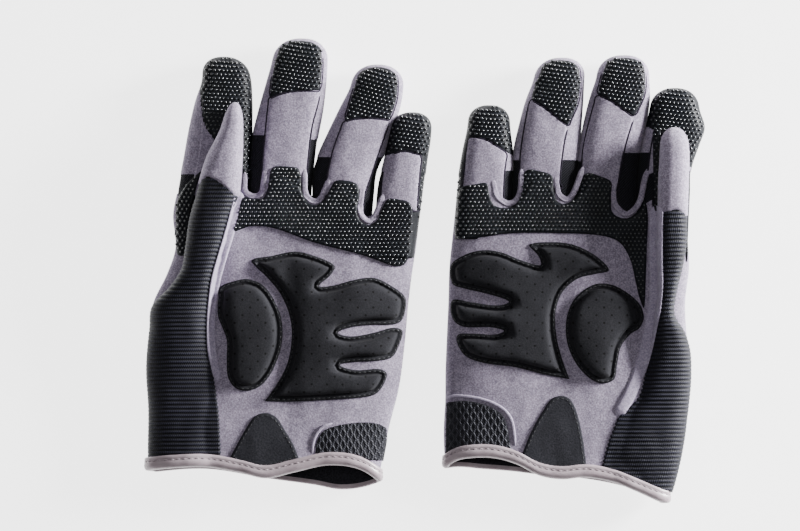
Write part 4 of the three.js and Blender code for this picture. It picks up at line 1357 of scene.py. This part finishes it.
def build_strap(glove):
    """The wrist strap on the back, and the loop patch it closes on."""
    for node, material in (("wrist_strap", FABRIC), ("strap_loop_patch", HOOKS)):
        low, high = [Vector(corner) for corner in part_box(glove.name(node))]
        middle, size = (low + high) / 2, high - low
        bpy.ops.object.select_all(action="DESELECT")
        bpy.ops.mesh.primitive_cube_add(size=1, location=middle)
        piece = bpy.context.active_object
        piece.name = glove.name(f"{node}_tape")
        piece.scale = size
        bpy.ops.object.transform_apply(location=True, rotation=True, scale=True)
        bpy.ops.object.mode_set(mode="EDIT")
        shape = bmesh.from_edit_mesh(piece.data)
        bpy.ops.mesh.select_all(action="DESELECT")
        for edge in shape.edges:
            a, b = (v.co for v in edge.verts)
            edge.select_set(abs(a.z - b.z) > size.z * 0.5)
        bmesh.update_edit_mesh(piece.data)
        bpy.ops.mesh.bevel(offset=5 * MM, segments=8)
        bpy.ops.mesh.select_all(action="SELECT")
        bpy.ops.object.mode_set(mode="OBJECT")
        rim = piece.modifiers.new("edge", "BEVEL")
        rim.width, rim.segments, rim.limit_method = 0.3 * MM, 2, "ANGLE"
        bpy.ops.object.modifier_apply(modifier=rim.name)
        piece.data.materials.append(material)
        piece.data.shade_flat()
        strap = node == "wrist_strap"
        glove.put(piece, "fabric", node, body="strap" if strap else "hand")
        if strap:
            x0, y0, x1, y1 = (low.x / MM - SHIFT[0] + 2, low.y / MM - SHIFT[1] + 2,
                              high.x / MM - SHIFT[0] - 2,
                              high.y / MM - SHIFT[1] - 2)
            line = loop([(x0, y0), (x1, y0), (x1, y1), (x0, y1)], 1.0, (0, 1, 2, 3))
            line = np.column_stack([line, np.full(len(line), low.z / MM)])
            down = np.tile([0.0, 0.0, -1.0], (len(line), 1))
            seam = stitches(glove.name("strap_seam"), line, PALE_THREAD, down, length=2.2, thick=0.2,
                            pitch=3.0)
            glove.put(seam, "fabric", body="strap")


for glove in (Glove("left"), Glove("right")):
    build_hand(glove)
    for finger in glove.fingers:
        build_finger(glove, finger)
    build_thumb(glove)
    build_trims(glove)
    build_binding(glove)
    build_strap(glove)


# ---------------------------------------------------------------- the table, the light and the camera

VIEW_CENTRE = (-14.4, 1.9)
VIEW_WIDTH = 428
LENS = 200      # a long lens: the pair is seen almost without perspective

bpy.ops.object.select_all(action="DESELECT")
bpy.ops.mesh.primitive_plane_add(size=6, location=(0, 0, -0.0004))
floor = bpy.context.active_object
floor.name = "table"
# Painted board, lit from behind: an even pale ground that throws soft light up under the gloves
table_finish, tree, sockets, on_object, _ = finish(
    "lit_white_board", Roughness=0.9, Specular_IOR_Level=0.0, Emission_Strength=3.4)
grain = node(tree, "ShaderNodeTexNoise", values={"Scale": per_mm(30), "Detail": 3}, links=on_object)
node(tree, "ShaderNodeValToRGB", links={"Fac": grain.outputs["Fac"]},
     stops=[(0.3, "#c4c4c4"), (0.7, "#cacaca")], into=sockets["Base Color"])
sockets["Emission Color"].default_value = (1, 1, 1, 1)
floor.data.materials.append(table_finish)

world = bpy.data.worlds.new("soft_white_room")
bpy.context.scene.world = world
world.use_nodes = True
world.node_tree.nodes["Background"].inputs["Color"].default_value = (1, 1, 1, 1)
world.node_tree.nodes["Background"].inputs["Strength"].default_value = 0.29


def soft_light(name, at, size, power):
    """A large soft light that points at the middle of the table."""
    bpy.ops.object.light_add(type="AREA", location=at)
    light = bpy.context.active_object
    light.name = name
    light.data.size = size
    light.data.energy = power
    light.rotation_euler = (Vector((0, 0, 0)) - Vector(at)).to_track_quat("-Z", "Y").to_euler()


soft_light("right_softbox", (1.25, 0.42, 0.28), 0.4, 138)
soft_light("top_fill", (-0.2, 0.6, 1.8), 1.2, 7)

bpy.ops.object.camera_add(location=in_metres(*VIEW_CENTRE, VIEW_WIDTH * LENS / 36 + 12), rotation=(0, 0, 0))
camera = bpy.context.active_object
camera.data.lens = LENS
camera.data.clip_end = 20
bpy.context.scene.camera = camera
